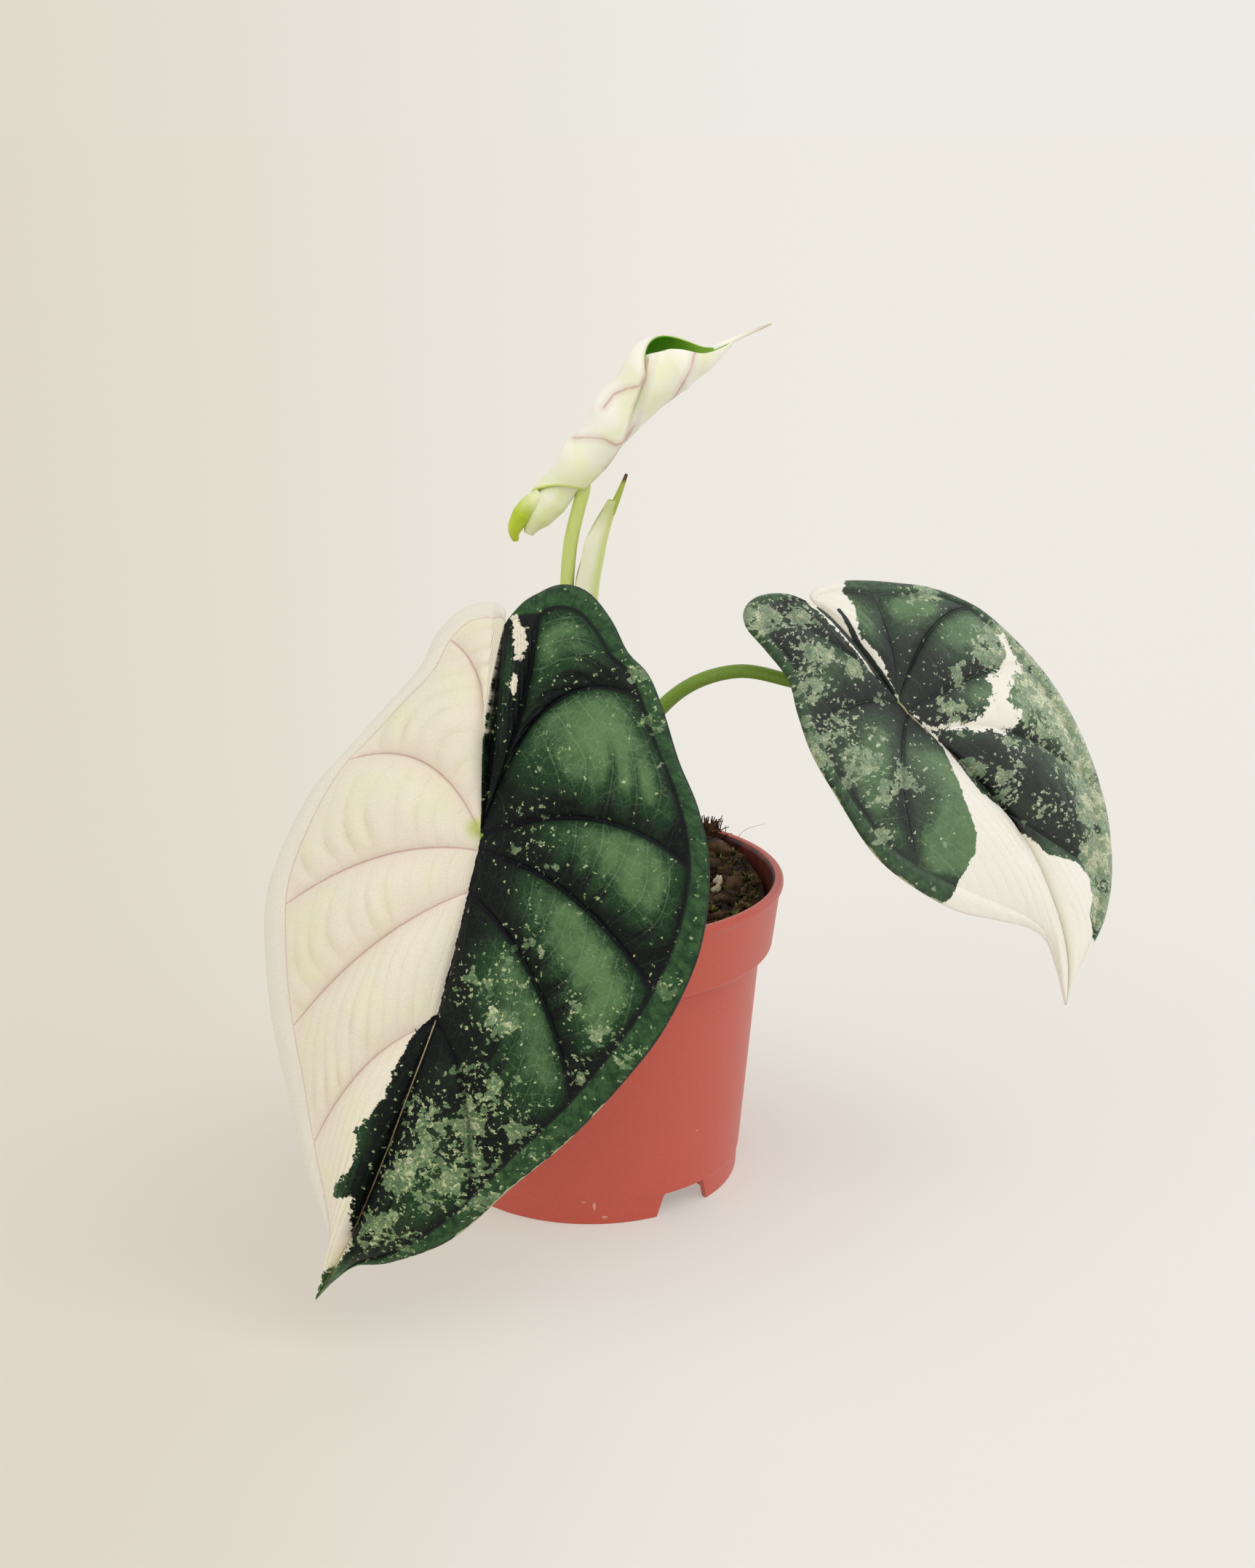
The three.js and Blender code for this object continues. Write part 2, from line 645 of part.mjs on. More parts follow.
function makeSoil() {
  const random = seededRandom(CHIPS.seed);
  let solid = makePlug();
  for (let k = 0; k < CHIPS.count; k += 1) {
    const angle = random() * 2 * Math.PI;
    const radius = THREE.MathUtils.lerp(CHIPS.innerRadius, CHIPS.outerRadius, random());
    const size = THREE.MathUtils.lerp(CHIPS.smallest, CHIPS.largest, random());
    const chip = new THREE.IcosahedronGeometry(size, 0);
    chip.scale(1, CHIPS.width, CHIPS.height);
    chip.rotateX(random() - 0.5);
    chip.rotateZ(random() * Math.PI);
    chip.translate(Math.cos(angle) * radius, Math.sin(angle) * radius, soilTop(radius, angle) + CHIPS.lift);
    solid = solid.add(toManifold(chip));
  }
  return solid;
}

// The stem base that carries the stalks

function makeCrown(extra = 0) {
  const { radius, topRadius, depth, rise, footTaper, topTaper, sides } = CROWN;
  const bottom = SOIL.surfaceZ - depth - extra;
  const top = SOIL.surfaceZ + rise + extra;
  const profile = [
    [0, bottom],
    [radius - footTaper + extra, bottom],
    [radius + extra, bottom + 1.5 * footTaper],
    [radius + extra, SOIL.surfaceZ + 2],
    [topRadius + topTaper + extra, top - 1.5 * topTaper],
    [topRadius + extra, top],
    [0, top],
  ].map(([x, z]) => new THREE.Vector2(x, z));
  return revolved(profile, sides);
}

// A stalk made wider and longer at its foot, to cut its socket.
function stalkSocket(stalk) {
  const [foot, ...rest] = stalk.points;
  const deeper = [foot[0], foot[1], foot[2] - CLEARANCE];
  return makeStalk({ ...stalk, points: [deeper, ...rest] }, CLEARANCE);
}

// Assembly

const frontStalk = stalkToBlade(FRONT_STALK, FRONT_LEAF);
const rightStalk = stalkToBlade(RIGHT_STALK, RIGHT_LEAF);
const stalks = [frontStalk, rightStalk, YOUNG_STALK];

const crown = stalks.reduce((solid, stalk) => solid.subtract(stalkSocket(stalk)), makeCrown());
const youngStalk = largestPiece(makeStalk(YOUNG_STALK).subtract(scrollEnvelope()));

const plant = new THREE.Group();
plant.add(
  named('pot', makePot(), POT_RED),
  named('soil', makeSoil().subtract(makeCrown(CLEARANCE)), SOIL_BROWN),
  named('crown', crown, CROWN_TAN),
  named('petiole_front', makeStalk(frontStalk), STALK_GREEN),
  named('petiole_right', makeStalk(rightStalk), STALK_GREEN),
  named('petiole_young', youngStalk, STALK_GREEN),
  named('blade_front', makeBlade(FRONT_LEAF), QUILTED_GREEN),
  named('blade_right', makeBlade(RIGHT_LEAF), MOTTLED_GREEN),
  named('blade_young', makeScroll(), CREAM),
  named('sheath_young', makeSheath(), PAPERY_GREEN),
);

// The object's origin is the middle of its box, on the surface that it stands on.
plant.updateMatrixWorld(true);
const box = new THREE.Box3().setFromObject(plant);
plant.position.set(-(box.min.x + box.max.x) / 2, -(box.min.y + box.max.y) / 2, -box.min.z);

export default plant;
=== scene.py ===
"""A potted albo dragon scale alocasia: two open leaves, one rolled leaf and their nursery pot."""

import math
from types import SimpleNamespace

import bmesh
import bpy
import numpy as np
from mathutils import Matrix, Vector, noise


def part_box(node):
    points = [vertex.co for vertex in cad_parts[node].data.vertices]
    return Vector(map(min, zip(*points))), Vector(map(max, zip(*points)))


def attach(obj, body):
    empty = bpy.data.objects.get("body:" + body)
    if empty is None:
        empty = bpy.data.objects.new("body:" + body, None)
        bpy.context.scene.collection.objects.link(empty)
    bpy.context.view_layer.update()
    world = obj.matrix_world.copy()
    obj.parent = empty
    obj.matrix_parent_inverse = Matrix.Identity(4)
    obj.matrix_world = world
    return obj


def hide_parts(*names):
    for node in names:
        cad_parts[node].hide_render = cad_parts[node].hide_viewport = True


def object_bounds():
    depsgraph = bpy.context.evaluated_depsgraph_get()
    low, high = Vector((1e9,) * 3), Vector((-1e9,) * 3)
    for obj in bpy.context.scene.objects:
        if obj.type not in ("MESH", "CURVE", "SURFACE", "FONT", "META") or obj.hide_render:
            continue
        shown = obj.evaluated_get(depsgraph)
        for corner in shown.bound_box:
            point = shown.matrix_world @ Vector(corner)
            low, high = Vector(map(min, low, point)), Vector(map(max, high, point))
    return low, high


bl_info = {
    "name": "Potted alocasia",
    "version": (1, 0, 0),
    "blender": (4, 5, 0),
    "location": "3D View > Sidebar > Alocasia",
    "description": "Builds a variegated alocasia in a nursery pot, piece by piece",
    "category": "Add Mesh",
}

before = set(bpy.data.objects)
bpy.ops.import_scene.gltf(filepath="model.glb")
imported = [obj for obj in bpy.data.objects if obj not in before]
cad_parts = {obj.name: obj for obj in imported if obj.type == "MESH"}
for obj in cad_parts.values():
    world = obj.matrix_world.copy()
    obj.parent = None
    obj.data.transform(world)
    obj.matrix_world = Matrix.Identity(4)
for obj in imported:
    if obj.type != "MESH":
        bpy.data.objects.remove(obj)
CAD_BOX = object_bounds()
POT_LOW, POT_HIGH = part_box("pot")

# Sizes here are in millimetres round the pot's axis, as the construction gives them

MM = 0.001
POT_AXIS = np.array([(POT_LOW.x + POT_HIGH.x) / 2, (POT_LOW.y + POT_HIGH.y) / 2, 0.0])

# The focal length is in points of a picture of the given height
CAMERA = {"place": (8.6, -482.0, 242.0), "pitch": 17.0, "sensor": 36.0, "focal": 3000.0, "picture": 2156}
# Where the pale tone of floor and backdrop turns from left to right, as sideways over ahead
TONE_TURN = (-0.32, 0.1)
# Suns of the studio: place, softness in degrees and colour
SUNS = {
    "key": ((0.6, -0.3, 1.0), 36, (1.0, 0.99, 0.96)),
    "fill": ((-0.5, -0.9, 0.55), 60, (1.0, 0.98, 0.94)),
    "edge": ((1.0, 0.55, 0.28), 50, (0.86, 0.8, 1.0)),
}

POT = {
    "height": 73.2, "rim": 45.0, "rim_bead": 1.8, "rim_round": 0.6, "collar_top": 44.3, "collar_foot": 42.6,
    "collar_z": 56.4, "ledge": 1.6, "shoulder": 39.7, "foot": 34.8, "crease_z": 5.2, "crease": 0.3,
    "wall": 1.3, "base_z": 3.2, "base_plate": 1.2,
}
# Scuffs on the pot: centre, and reach in x, y and z
POT_SCUFFS = [((1.0, -34.7, 4.8), (0.5, 2, 1.6)), ((3.2, -34.6, 1.9), (0.9, 2, 0.5)),
              ((-1.4, -34.7, 6.0), (0.8, 2, 0.4)), ((19.0, -36, 56.5), (0.3, 9, 0.5)),
              ((24.5, -27, 20), (0.3, 6, 0.3))]
NOTCH = {"count": 3, "first": 38.5, "foot_width": 18.5, "top_width": 11.5, "height": 5.8, "inner": 24.0}
SOIL = {
    "surface": 64.5, "bumps": 1.6, "edge": 40.8, "wall_top": 57.6, "underside": 4.7, "foot": 33.4,
    "ledge": (38.0, 54.9),
    "heap": {"height": 6.6, "angle": 50, "spread": 58, "from": 18.0},
    "tuft": (27.2, 30.5, 71.5), "stub": (30.2, 6.5, 67.0), "moss_lump": (33.8, 10.5, 67.6),
    "hair": [(34, 26, 70), (37, 25, 75), (42, 23, 77.5)],
    # Width and height over length of the chips and the grit
    "chips": [(0.6, 0.35), (0.45, 0.4), (0.8, 0.5), (0.35, 0.25)], "grit": [(0.9, 0.7), (0.7, 0.8)],
}
# The stem base: its radius at fractions of its height, the last of them where its dome starts
CROWN = {
    "bottom": 55.5, "top": 73.5, "heights": [0, 0.06, 0.2, 0.6, 0.84, 0.9],
    "radius": [5.5, 7.4, 8.9, 8.8, 7.6, 6.7],
}

BLADE = {
    "thickness": 0.75, "pad_rise": 0.14, "band": 0.895, "band_rise": 0.75, "rim_inset": 0.012,
    "rows_a_pad": 34, "face_columns": 120, "back_columns": 34,
}

# Each leaf lies on a plane through its stalk joint, in [across, along] seen from the face. The outlines
# run from the notch to the tip, and each side vein is (root on the midrib, elbow, end on the margin).

FRONT_LEAF = {
    "node": "blade_front", "piece": "front_leaf", "joint": (-20.8, -68, 104.7),
    "azimuth": -14, "elevation": 20, "roll": 11.2, "fold": 0.22, "droop": 0.13,
    "arch": 0.0011, "arch_centre": -25,
    "midrib": [(-8.7, 42.6), (-6.4, 30.4), (-3.9, 17.3), (-1.4, 5.7), (0, -2), (1.1, -20.5), (1.2, -37.8),
               (-0.6, -57.3), (-2.4, -72), (-5, -87), (-9.1, -100.6)],
    "right": [(-8.7, 42.6), (-7.2, 49), (-2.3, 53.6), (4, 53.6), (10.8, 49.1), (16.2, 43.6), (21.7, 40.3),
              (27, 34), (33.2, 25), (40, 16.5), (45.5, 5.5), (48, -10), (45.6, -26), (40.5, -39), (32.5, -54),
              (24, -66.3), (14.5, -80.5), (4, -88.6), (-2.6, -91.4), (-6.3, -95.6), (-9.1, -100.6)],
    "left": [(-8.7, 42.6), (-11, 45.7), (-15, 46.4), (-20.5, 43.5), (-23.9, 37), (-24.9, 29.3), (-29.5, 19.3),
             (-34.3, 9.4), (-39.3, -0.5), (-42.4, -13.5), (-43.1, -25), (-39.8, -37.3), (-33.5, -52.5),
             (-26, -65), (-19.7, -76), (-12.2, -85), (-8.9, -90.5), (-8.6, -95.5), (-9.1, -100.6)],
    "roots": [(-0.8, 3), (-0.5, 1.5), (-0.2, 0), (0.1, -3), (0.7, -11.5), (1.2, -38.5), (-1.7, -66)],
    "right_veins": [((4.5, 27), (-6, 50.5)), ((1.8, 44), (27, 33)), ((25, 18), (46.7, 2)),
                    ((25, -1), (46, -25)), ((24, -20.5), (34, -52)), ((15, -46), (17, -77.5)),
                    ((4, -77), (4.5, -88.4))],
    "left_veins": [((-6, 30.5), (-14, 46.5)), ((-3.5, 35), (-23.9, 37)), ((-15.5, 20.2), (-37.3, 4)),
                   ((-20, -5), (-42, -30)), ((-17, -24.7), (-32.5, -54.5)), ((-12.5, -47.5), (-20, -75.5)),
                   ((-8.5, -76), (-11, -87))],
    # Lines that shape the leaf without being a vein, by number
    "plain_lines": {"right": [7], "left": [1, 7]},
    "look": {"pads": 1.0, "pink": 0.8, "vein": 0.95, "haze": 0.0, "frost": 0.0, "white": 0.0,
             "rough": 0.38, "specular": 0.14, "creases": 1.0},
    # Cream areas, each an outline and how ragged its edge is
    "cream": [
        ([(-8.7, 44), (-8.0, 39), (-6.4, 30.4), (-3.9, 17.3), (-1.4, 5.7), (0, -2), (1.1, -20.5),
          (1.3, -36.4), (-1.7, -41.1), (-60, -41.1), (-60, 60), (-8.7, 60)], 0.15),
        ([(1.3, -36.4), (-1.7, -41.1), (-2.9, -44.6), (-3.1, -47.6), (-3.9, -51.1), (-4.0, -55.1),
          (-5.6, -59.2), (-6.1, -61.1), (-8.0, -63.5), (-6.8, -65.9), (-6.8, -71.6), (-10.4, -76.4),
          (-9.3, -78.6), (-5.7, -76.7), (-4.7, -81.7), (-4.9, -84.7), (-3.5, -86.5), (-5.2, -90.6),
          (-8.2, -94.7), (-9.9, -102), (-60, -102), (-60, -36.4)], 0.8),
        ([(-7.3, 44.9), (-4.9, 42.5), (-2.9, 39.6), (-2.8, 36.0), (-3.8, 36.0), (-5.7, 40.2),
          (-7.9, 44.0)], 0.5),
        ([(-2.9, 33.1), (-1.4, 32.1), (-1.2, 30.7), (-1.4, 28.9), (-2.4, 30.0)], 0.4),
    ],
    # Places with many pale flecks: centre, radius and strength
    "flecks": [((7.2, -29), 6, 0.7), ((14.8, -25), 6, 0.8), ((14, -34), 7, 0.8), ((15.5, -51), 8, 1.0),
               ((14.7, -62), 9, 1.0), ((6.5, -57), 8, 1.0), ((5.7, -68), 8, 1.15), ((2.7, -82), 8, 1.0),
               ((12, -70), 8, 1.0), ((28.5, -27), 4, 0.5), ((34, -29.5), 5, 0.7), ((40, -33), 5, 0.8),
               ((31.5, -40), 6, 0.6), ((24.3, -52), 6, 0.8), ((42.7, -19.3), 3.5, 0.7), ((19.8, -70), 6, 0.9),
               ((26.5, -58.6), 5, 0.7), ((20.5, 40), 4, 0.8), ((26, 33), 4, 0.7), ((10.5, 20), 5, 0.45),
               ((8, 8), 7, 0.4), ((12, 3), 7, 0.5), ((16, -18), 6, 0.5), ((20, -2), 6, 0.3),
               ((7, 37), 6, 0.35), ((-3, 8), 3, 0.4), ((-4, 22), 3.5, 0.35)],
    "stripes": [],
    # Places that are darker than the rest
    "dim": [((38, -14), 6, 0.3), ((12, -44), 8, 0.6), ((8, -52), 7, 0.6), ((10, -64), 12, 0.5),
            ((17, -55), 8, 0.6), ((2, -80), 9, 0.45), ((25, -57), 8, 0.5), ((14, -36), 8, 0.5)],
    "glow": [((4, 45), 7, 0.3), ((22, 21), 9, 0.5), ((30, 2), 8, 0.45), ((21.4, -14.5), 7, 0.4),
             ((34, -24), 6, 0.5), ((19, -31), 6, 0.4), ((-6.5, -93), 4, 0.9), ((-8.5, -99), 5, 0.9)],
    "shade_reach": {"midrib": 11.5, "vein": 7.8, "band": 2.8},
    "rib_line": (-97, -38), "pale_edges": {"right": (-94, -42)},
}

RIGHT_LEAF = {
    "node": "blade_right", "piece": "right_leaf", "joint": (70.5, -5, 115),
    "azimuth": 24, "elevation": 32, "roll": -29, "fold": 0.33, "droop": 0,
    "arch": 0.0012, "arch_centre": -15,
    "midrib": [(0.9, 29), (0.4, 14.5), (0.2, 0), (1.2, -10.2), (2.8, -21), (3.6, -32.4), (3, -43.4),
               (0.5, -52.9), (-2.6, -62), (-7, -69.5), (-13.5, -75.8)],
    "right": [(0.9, 29), (1.4, 32.3), (5.8, 32.3), (11, 29.9), (16, 26.4), (21.2, 22), (26.8, 16.8),
              (31.3, 10.3), (34.6, 2.5), (36.3, -9), (36.2, -20.5), (34, -32), (30, -43), (24.5, -53),
              (17, -61.8), (9, -67.6), (1.5, -70.4), (-5.6, -72.3), (-10.4, -73.9), (-13.5, -75.8)],
    "left": [(0.9, 29), (-0.8, 32), (-3.6, 36.3), (-8.9, 39.4), (-14, 39), (-16.9, 35.5), (-17.2, 29),
             (-18, 20.5), (-22, 13.3), (-26, 4.5), (-28.2, -6), (-30, -18), (-29.4, -26), (-26.3, -35),
             (-22, -43.3), (-15.5, -50.5), (-9.8, -57), (-8, -62), (-9.8, -67.8), (-12, -72.4),
             (-13.5, -75.8)],
    "roots": [(0.3, 2), (0.2, 0.5), (0.3, -2.5), (1, -9), (3.5, -34), (-0.6, -56)],
    "right_veins": [((7, 9), (15.5, 26.8)), ((21, 15), (33.6, 5)), ((17.8, -3.5), (36.3, -13)),
                    ((19, -15.6), (27.7, -47.5)), ((7, -46), (15.5, -63.2)), ((1.4, -64), (2, -70.3))],
    "left_veins": [((-3, 18), (-11, 39.4)), ((-9, 9), (-24.4, 8.6)), ((-17, -8), (-26, -36)),
                   ((-5.2, -25.6), (-21, -44.6)), ((-3, -47), (-11.6, -55)), ((-5.5, -61), (-8.3, -64))],
    "plain_lines": {"right": [6], "left": [4, 5, 6]},
    "look": {"pads": 0.75, "pink": 0.08, "vein": 0.16, "haze": 0.03, "frost": 0.85, "white": 0.75,
             "rough": 0.3, "specular": 0.5, "creases": 0.4},
    "cream": [
        ([(-1.6, 31), (0.6, 34), (5.8, 34), (12.0, 31.0), (10.5, 29.3), (7.6, 28.5), (7.1, 25.2), (4.0, 21.5),
          (1.8, 17.9), (2.8, 11.7), (1.6, 6.9), (0.5, 0.3), (-1.3, 6.0), (-2.0, 12.0), (-2.0, 21.2)], 0.5),
        ([(1.2, -8.0), (4.9, -10.8), (8.5, -14.6), (13.5, -19.7), (18.0, -20.7), (20.5, -19.0), (19.3, -14.4),
          (26.2, -12.1), (30.6, -12.1), (33.6, -2.9), (31.9, -1.7), (28.4, -8.0), (22.3, -8.7), (18.9, -7.4),
          (19.2, -10.5), (13.7, -13.6), (9.7, -13.2), (5.1, -10.1)], 1.3),
        ([(0.8, -2.0), (1.2, -8.0), (-0.2, -13.2), (-3.9, -20.2), (-6.8, -26.2), (-9.1, -32.5),
          (-12.0, -35.3), (-17.4, -37.6), (-20.9, -39.3), (-24.3, -39.5), (-36, -42), (-36, -82),
          (2.0, -82), (2.0, -68.9), (3.7, -63.8), (7.1, -62.0), (9.8, -57.8), (9.1, -53.2),
          (4.4, -47.9), (3.8, -41.9), (1.8, -32.3), (-0.6, -26.4), (-0.4, -21.2), (1.8, -12.6),
          (1.8, -8.0)], 0.35),
    ],
    "flecks": [((-14, 36), 7, 1.15), ((-7, 30), 6, 1.15), ((-11, 22), 6, 1.1), ((-16, 16), 6, 1.05),
               ((-22, 7), 6, 1.05), ((-15.5, 4.7), 5, 0.85), ((-20, -3), 7, 0.95), ((-13, -12), 5, 0.9),
               ((-20, -11), 6, 0.8), ((-4.4, 5), 3, 0.8), ((-5, 13), 4, 1.1), ((-27, 3), 4, 1.3),
               ((25.5, -3.5), 6, 1.3), ((33, -2), 5, 1.35), ((30, -10), 7, 1.6), ((29, -18), 8, 1.8),
               ((31, -26), 8, 1.8), ((22, -24), 5, 1.2), ((29, -35), 8, 1.8), ((23, -40), 5, 1.2),
               ((24, -47), 8, 1.8), ((17, -57), 8, 1.8), ((8.5, -65), 6, 1.6), ((8, -9), 5, 1.1),
               ((2.5, -21), 4, 1.0), ((6, -29), 5, 1.0), ((14, -24), 5, 1.0), ((24, 16), 5, 1.1),
               ((11, -39), 5, 0.85), ((-26, -20), 3, 0.9), ((14, -3), 4, 0.8), ((34, -12), 5, 1.7)],
    # Dark lines beside the folded sinus: points, half width
    "stripes": [([(-0.2, 28.5), (-0.9, 19.7), (-0.8, 11), (-0.2, 1.5)], 0.75),
                ([(2.6, 25.5), (1.0, 17), (0.9, 9), (0.5, 3)], 0.42)],
    "dim": [((8, -22), 7, 0.9), ((12, -32), 8, 0.9), ((12, -44), 7, 0.9), ((8, 8), 7, 0.9),
            ((6, -1), 7, 0.9), ((12, 2), 7, 0.7), ((-8, 7), 7, 0.7), ((-16, -16), 7, 0.6),
            ((-5, -6), 5, 0.5), ((-14, 26), 8, 0.85), ((-20, 8), 8, 0.75)],
    "glow": [((7, 21), 6, 0.6), ((20, 14), 6, 0.6), ((21, 4), 5, 0.5), ((-8, -11), 4, 0.25),
             ((-19, 16), 6, 0.6), ((-19, -3), 5, 0.5), ((-23, -32), 5, 0.5),
             ((28, -30), 8, 0.6), ((12, -60), 8, 0.5)],
    "shade_reach": {"midrib": 6.5, "vein": 4.4, "band": 1.4},
    "rib_line": (-60, 3), "pale_edges": {"left": (-75, 5), "right": (-60, -5)},
}

SCROLL = {
    "axis": [(-14.6, 0, 154.6), (-8.8, 0, 161), (-4.3, 0, 166.1), (0.2, 0, 171.2), (4.7, 0, 176.6),
             (9.0, 0, 182.1), (13.8, 0, 187.3), (19.2, 0, 191.0), (25.2, 0, 193.1), (31, 0, 195.4)],
    "radius": [2.7, 4.3, 5.1, 5.5, 6.0, 6.7, 7.4, 7.1, 4.6, 1.3],
    "inner_angle": [20, -30, -60, -80, -80, -70, -60, -40, 0, 30],
    "outer_angle": [330, 380, 420, 425, 400, 370, 345, 250, 190, 150],
    "lobe_cut": 0.22, "layer_pitch": 1.35, "thickness": 0.7, "ripple": 0.1, "ripples": 5,
    "rows": 170, "columns": 150,
    # Vein and margin lines on the side that faces the camera, in [x, z]
    "veins": [
        [(23.4, 194.7), (22.4, 190.2), (19.2, 184.0), (15.2, 178.5), (10.2, 174.5), (3.8, 168.1)],
        [(12.9, 192.0), (12.4, 189.0), (11.3, 186.6), (8.4, 185.8), (5.6, 184.4), (3.4, 181.6)],
        [(10.2, 177.6), (8.0, 174.2), (6.1, 173.5), (3.4, 175.0), (0.6, 175.1), (-3.2, 174.6)],
    ],
    "ridge": [(15.3, 196.5), (14.7, 192.0), (12.9, 186.2), (10.2, 176.3)],
    "lobe": [(-10.6, -1.6, 162.4), (-13.2, -1.8, 160.0), (-15.5, -1.6, 156.6), (-16.6, -1.2, 153.6),
             (-16.3, -0.8, 151.7)],
    "lobe_radius": [1.2, 2.0, 2.1, 1.7, 0.7],
    "inner_roll": [(-3.0, 0.4, 167.0), (-7.0, 0.2, 162.2), (-10.2, -0.3, 158.2), (-12.5, -0.6, 155.2),
                   (-13.5, -0.6, 153.2)],
    "inner_roll_radius": [2.6, 3.5, 3.8, 3.0, 1.1],
    "tail": [(27.5, 0, 193.6), (31.5, 0, 195.6), (35.5, 0, 197.3), (39.8, 0, 199.1)],
    "tail_radius": [0.85, 0.6, 0.4, 0.26],
}

STALKS = {
    "petiole_front": {
        "points": [(-1.5, -5.8, 66), (-4, -12, 88), (-9, -27, 105.5), (-14.5, -44, 110.5),
                   (-18.5, -58, 106.5)],
        "radii": [2.7, 2.2, 1.9, 1.7, 1.6, 1.5, 1.5], "leaf": "front",
    },
    "petiole_right": {
        "points": [(5.2, 0.8, 66), (7.2, 2.5, 88), (12.5, 5, 106), (22, 5, 116.3), (34, 5, 120.2),
                   (46, 4, 118.2), (59, 1.5, 114.5)],
        "radii": [2.7, 2.3, 2, 1.8, 1.65, 1.6, 1.55, 1.5, 1.5], "leaf": "right",
    },
    "petiole_young": {
        "points": [(-2.6, 2.6, 66), (-3.9, 1.6, 92), (-4.9, 0.4, 120), (-5, 0, 141), (-4.1, 0, 151),
                   (-3, 0, 156), (-1.8, 0, 160.5), (-1.2, 0, 162.4), (-0.9, 0.6, 165.6)],
        "radii": [2.6, 2.1, 1.8, 1.6, 1.55, 1.55, 1.6, 1.5],
    },
}

SHEATH = {
    "z": [73.8, 90, 105, 120, 132, 143, 152, 160.6],
    "centre_x": [-2.9, -3.8, -3.9, -3.6, -2.6, -1, 1.25, 5],
    "centre_y": [2.3, 1.7, 0.9, 0.3, 0, 0, 0, 0],
    "radius_x": [3.6, 3.3, 3.4, 3.9, 3.9, 3.5, 2.95, 1.5],
    "radius_y": [3.6, 3.3, 3.2, 3, 3, 2.6, 1.9, 1.1],
    "half_wrap": [150, 150, 140, 130, 118, 122, 130, 125],
    "thickness": 0.5, "rows": 90, "columns": 60,
    "point": [(5, 0, 157.5), (5.9, 0, 160), (7.1, 0, 163), (8.4, 0, 166.4)],
    "point_radius": [0.8, 0.8, 0.6, 0.35],
}


def srgb(red, green, blue):
    """The linear colour of a screen colour from 0 to 255."""
    def linear(value):
        value /= 255
        return value / 12.92 if value <= 0.04045 else ((value + 0.055) / 1.055) ** 2.4
    return (linear(red), linear(green), linear(blue), 1.0)


def colour_property(name, description, red, green, blue):
    """A colour that a user can change."""
    return bpy.props.FloatVectorProperty(
        name=name, description=description, subtype="COLOR", size=4, min=0.0, max=1.0,
        default=srgb(red, green, blue),
    )


def tones(**levels):
    """Named colours, each from its screen levels."""
    return SimpleNamespace(**{name: srgb(*level) for name, level in levels.items()})


LEAF_TONE = tones(
    fine_vein=(136, 162, 124), haze=(96, 112, 98), dark_stripe=(22, 34, 26), tan_rib=(198, 184, 146),
    pale_edge=(186, 196, 152), band_dark=(26, 54, 31), band_light=(60, 94, 56), band_crease=(14, 32, 20),
    patch_dull=(98, 126, 88), patch_dull_frosted=(132, 156, 126), patch_frosted=(190, 204, 170),
    patch_bright=(156, 174, 132), patch_brightest=(212, 216, 180), patch_vein=(70, 94, 64),
    patch_shade=(40, 62, 44), speck_dull=(110, 140, 92), speck_dull_frosted=(146, 164, 132),
    speck_keen=(196, 204, 158), speck_keen_frosted=(212, 219, 194), blush=(228, 210, 200),
    cream_crease=(216, 208, 172), cream_vein=(196, 190, 160), cream_band=(232, 227, 215),
    white=(244, 242, 233), sinus=(182, 196, 78), back_cloud=(96, 124, 84), back_net=(84, 104, 74),
    back_vein=(110, 78, 74), back_cream=(226, 220, 200),
)
YOUNG_TONE = tones(
    pink_line=(205, 166, 158), ridge=(240, 230, 216), margin=(226, 206, 182), inside_glow=(168, 196, 70),
    lobe=(150, 184, 34), tip=(212, 198, 178), green_streak=(92, 124, 36), pale_streak=(176, 198, 92),
    stalk_foot=(128, 96, 62), stalk_dot=(200, 212, 140), sheath_fibre=(222, 222, 190),
    sheath_end=(176, 190, 92), point_foot=(168, 182, 84), crown_light=(110, 98, 58),
    crown_dark=(84, 60, 38), crown_scar=(52, 36, 24),
)
POT_TONE = tones(
    plastic_cloud=(186, 72, 58), plastic_grain=(222, 128, 112), grime_red=(84, 38, 34),
    grime_brown=(40, 26, 20), fibre=(140, 104, 70), grit_light=(206, 196, 174), grit_dark=(160, 142, 112),
    moss_dark=(70, 76, 34), moss_light=(142, 144, 84), stub_light=(252, 246, 232),
    stub_dark=(216, 192, 158), lump_dark=(106, 104, 58), lump_light=(176, 168, 114), peat_dark=(34, 24, 18),
    peat_light=(70, 50, 34), thread_dark=(46, 31, 21), thread_light=(104, 74, 46),
)


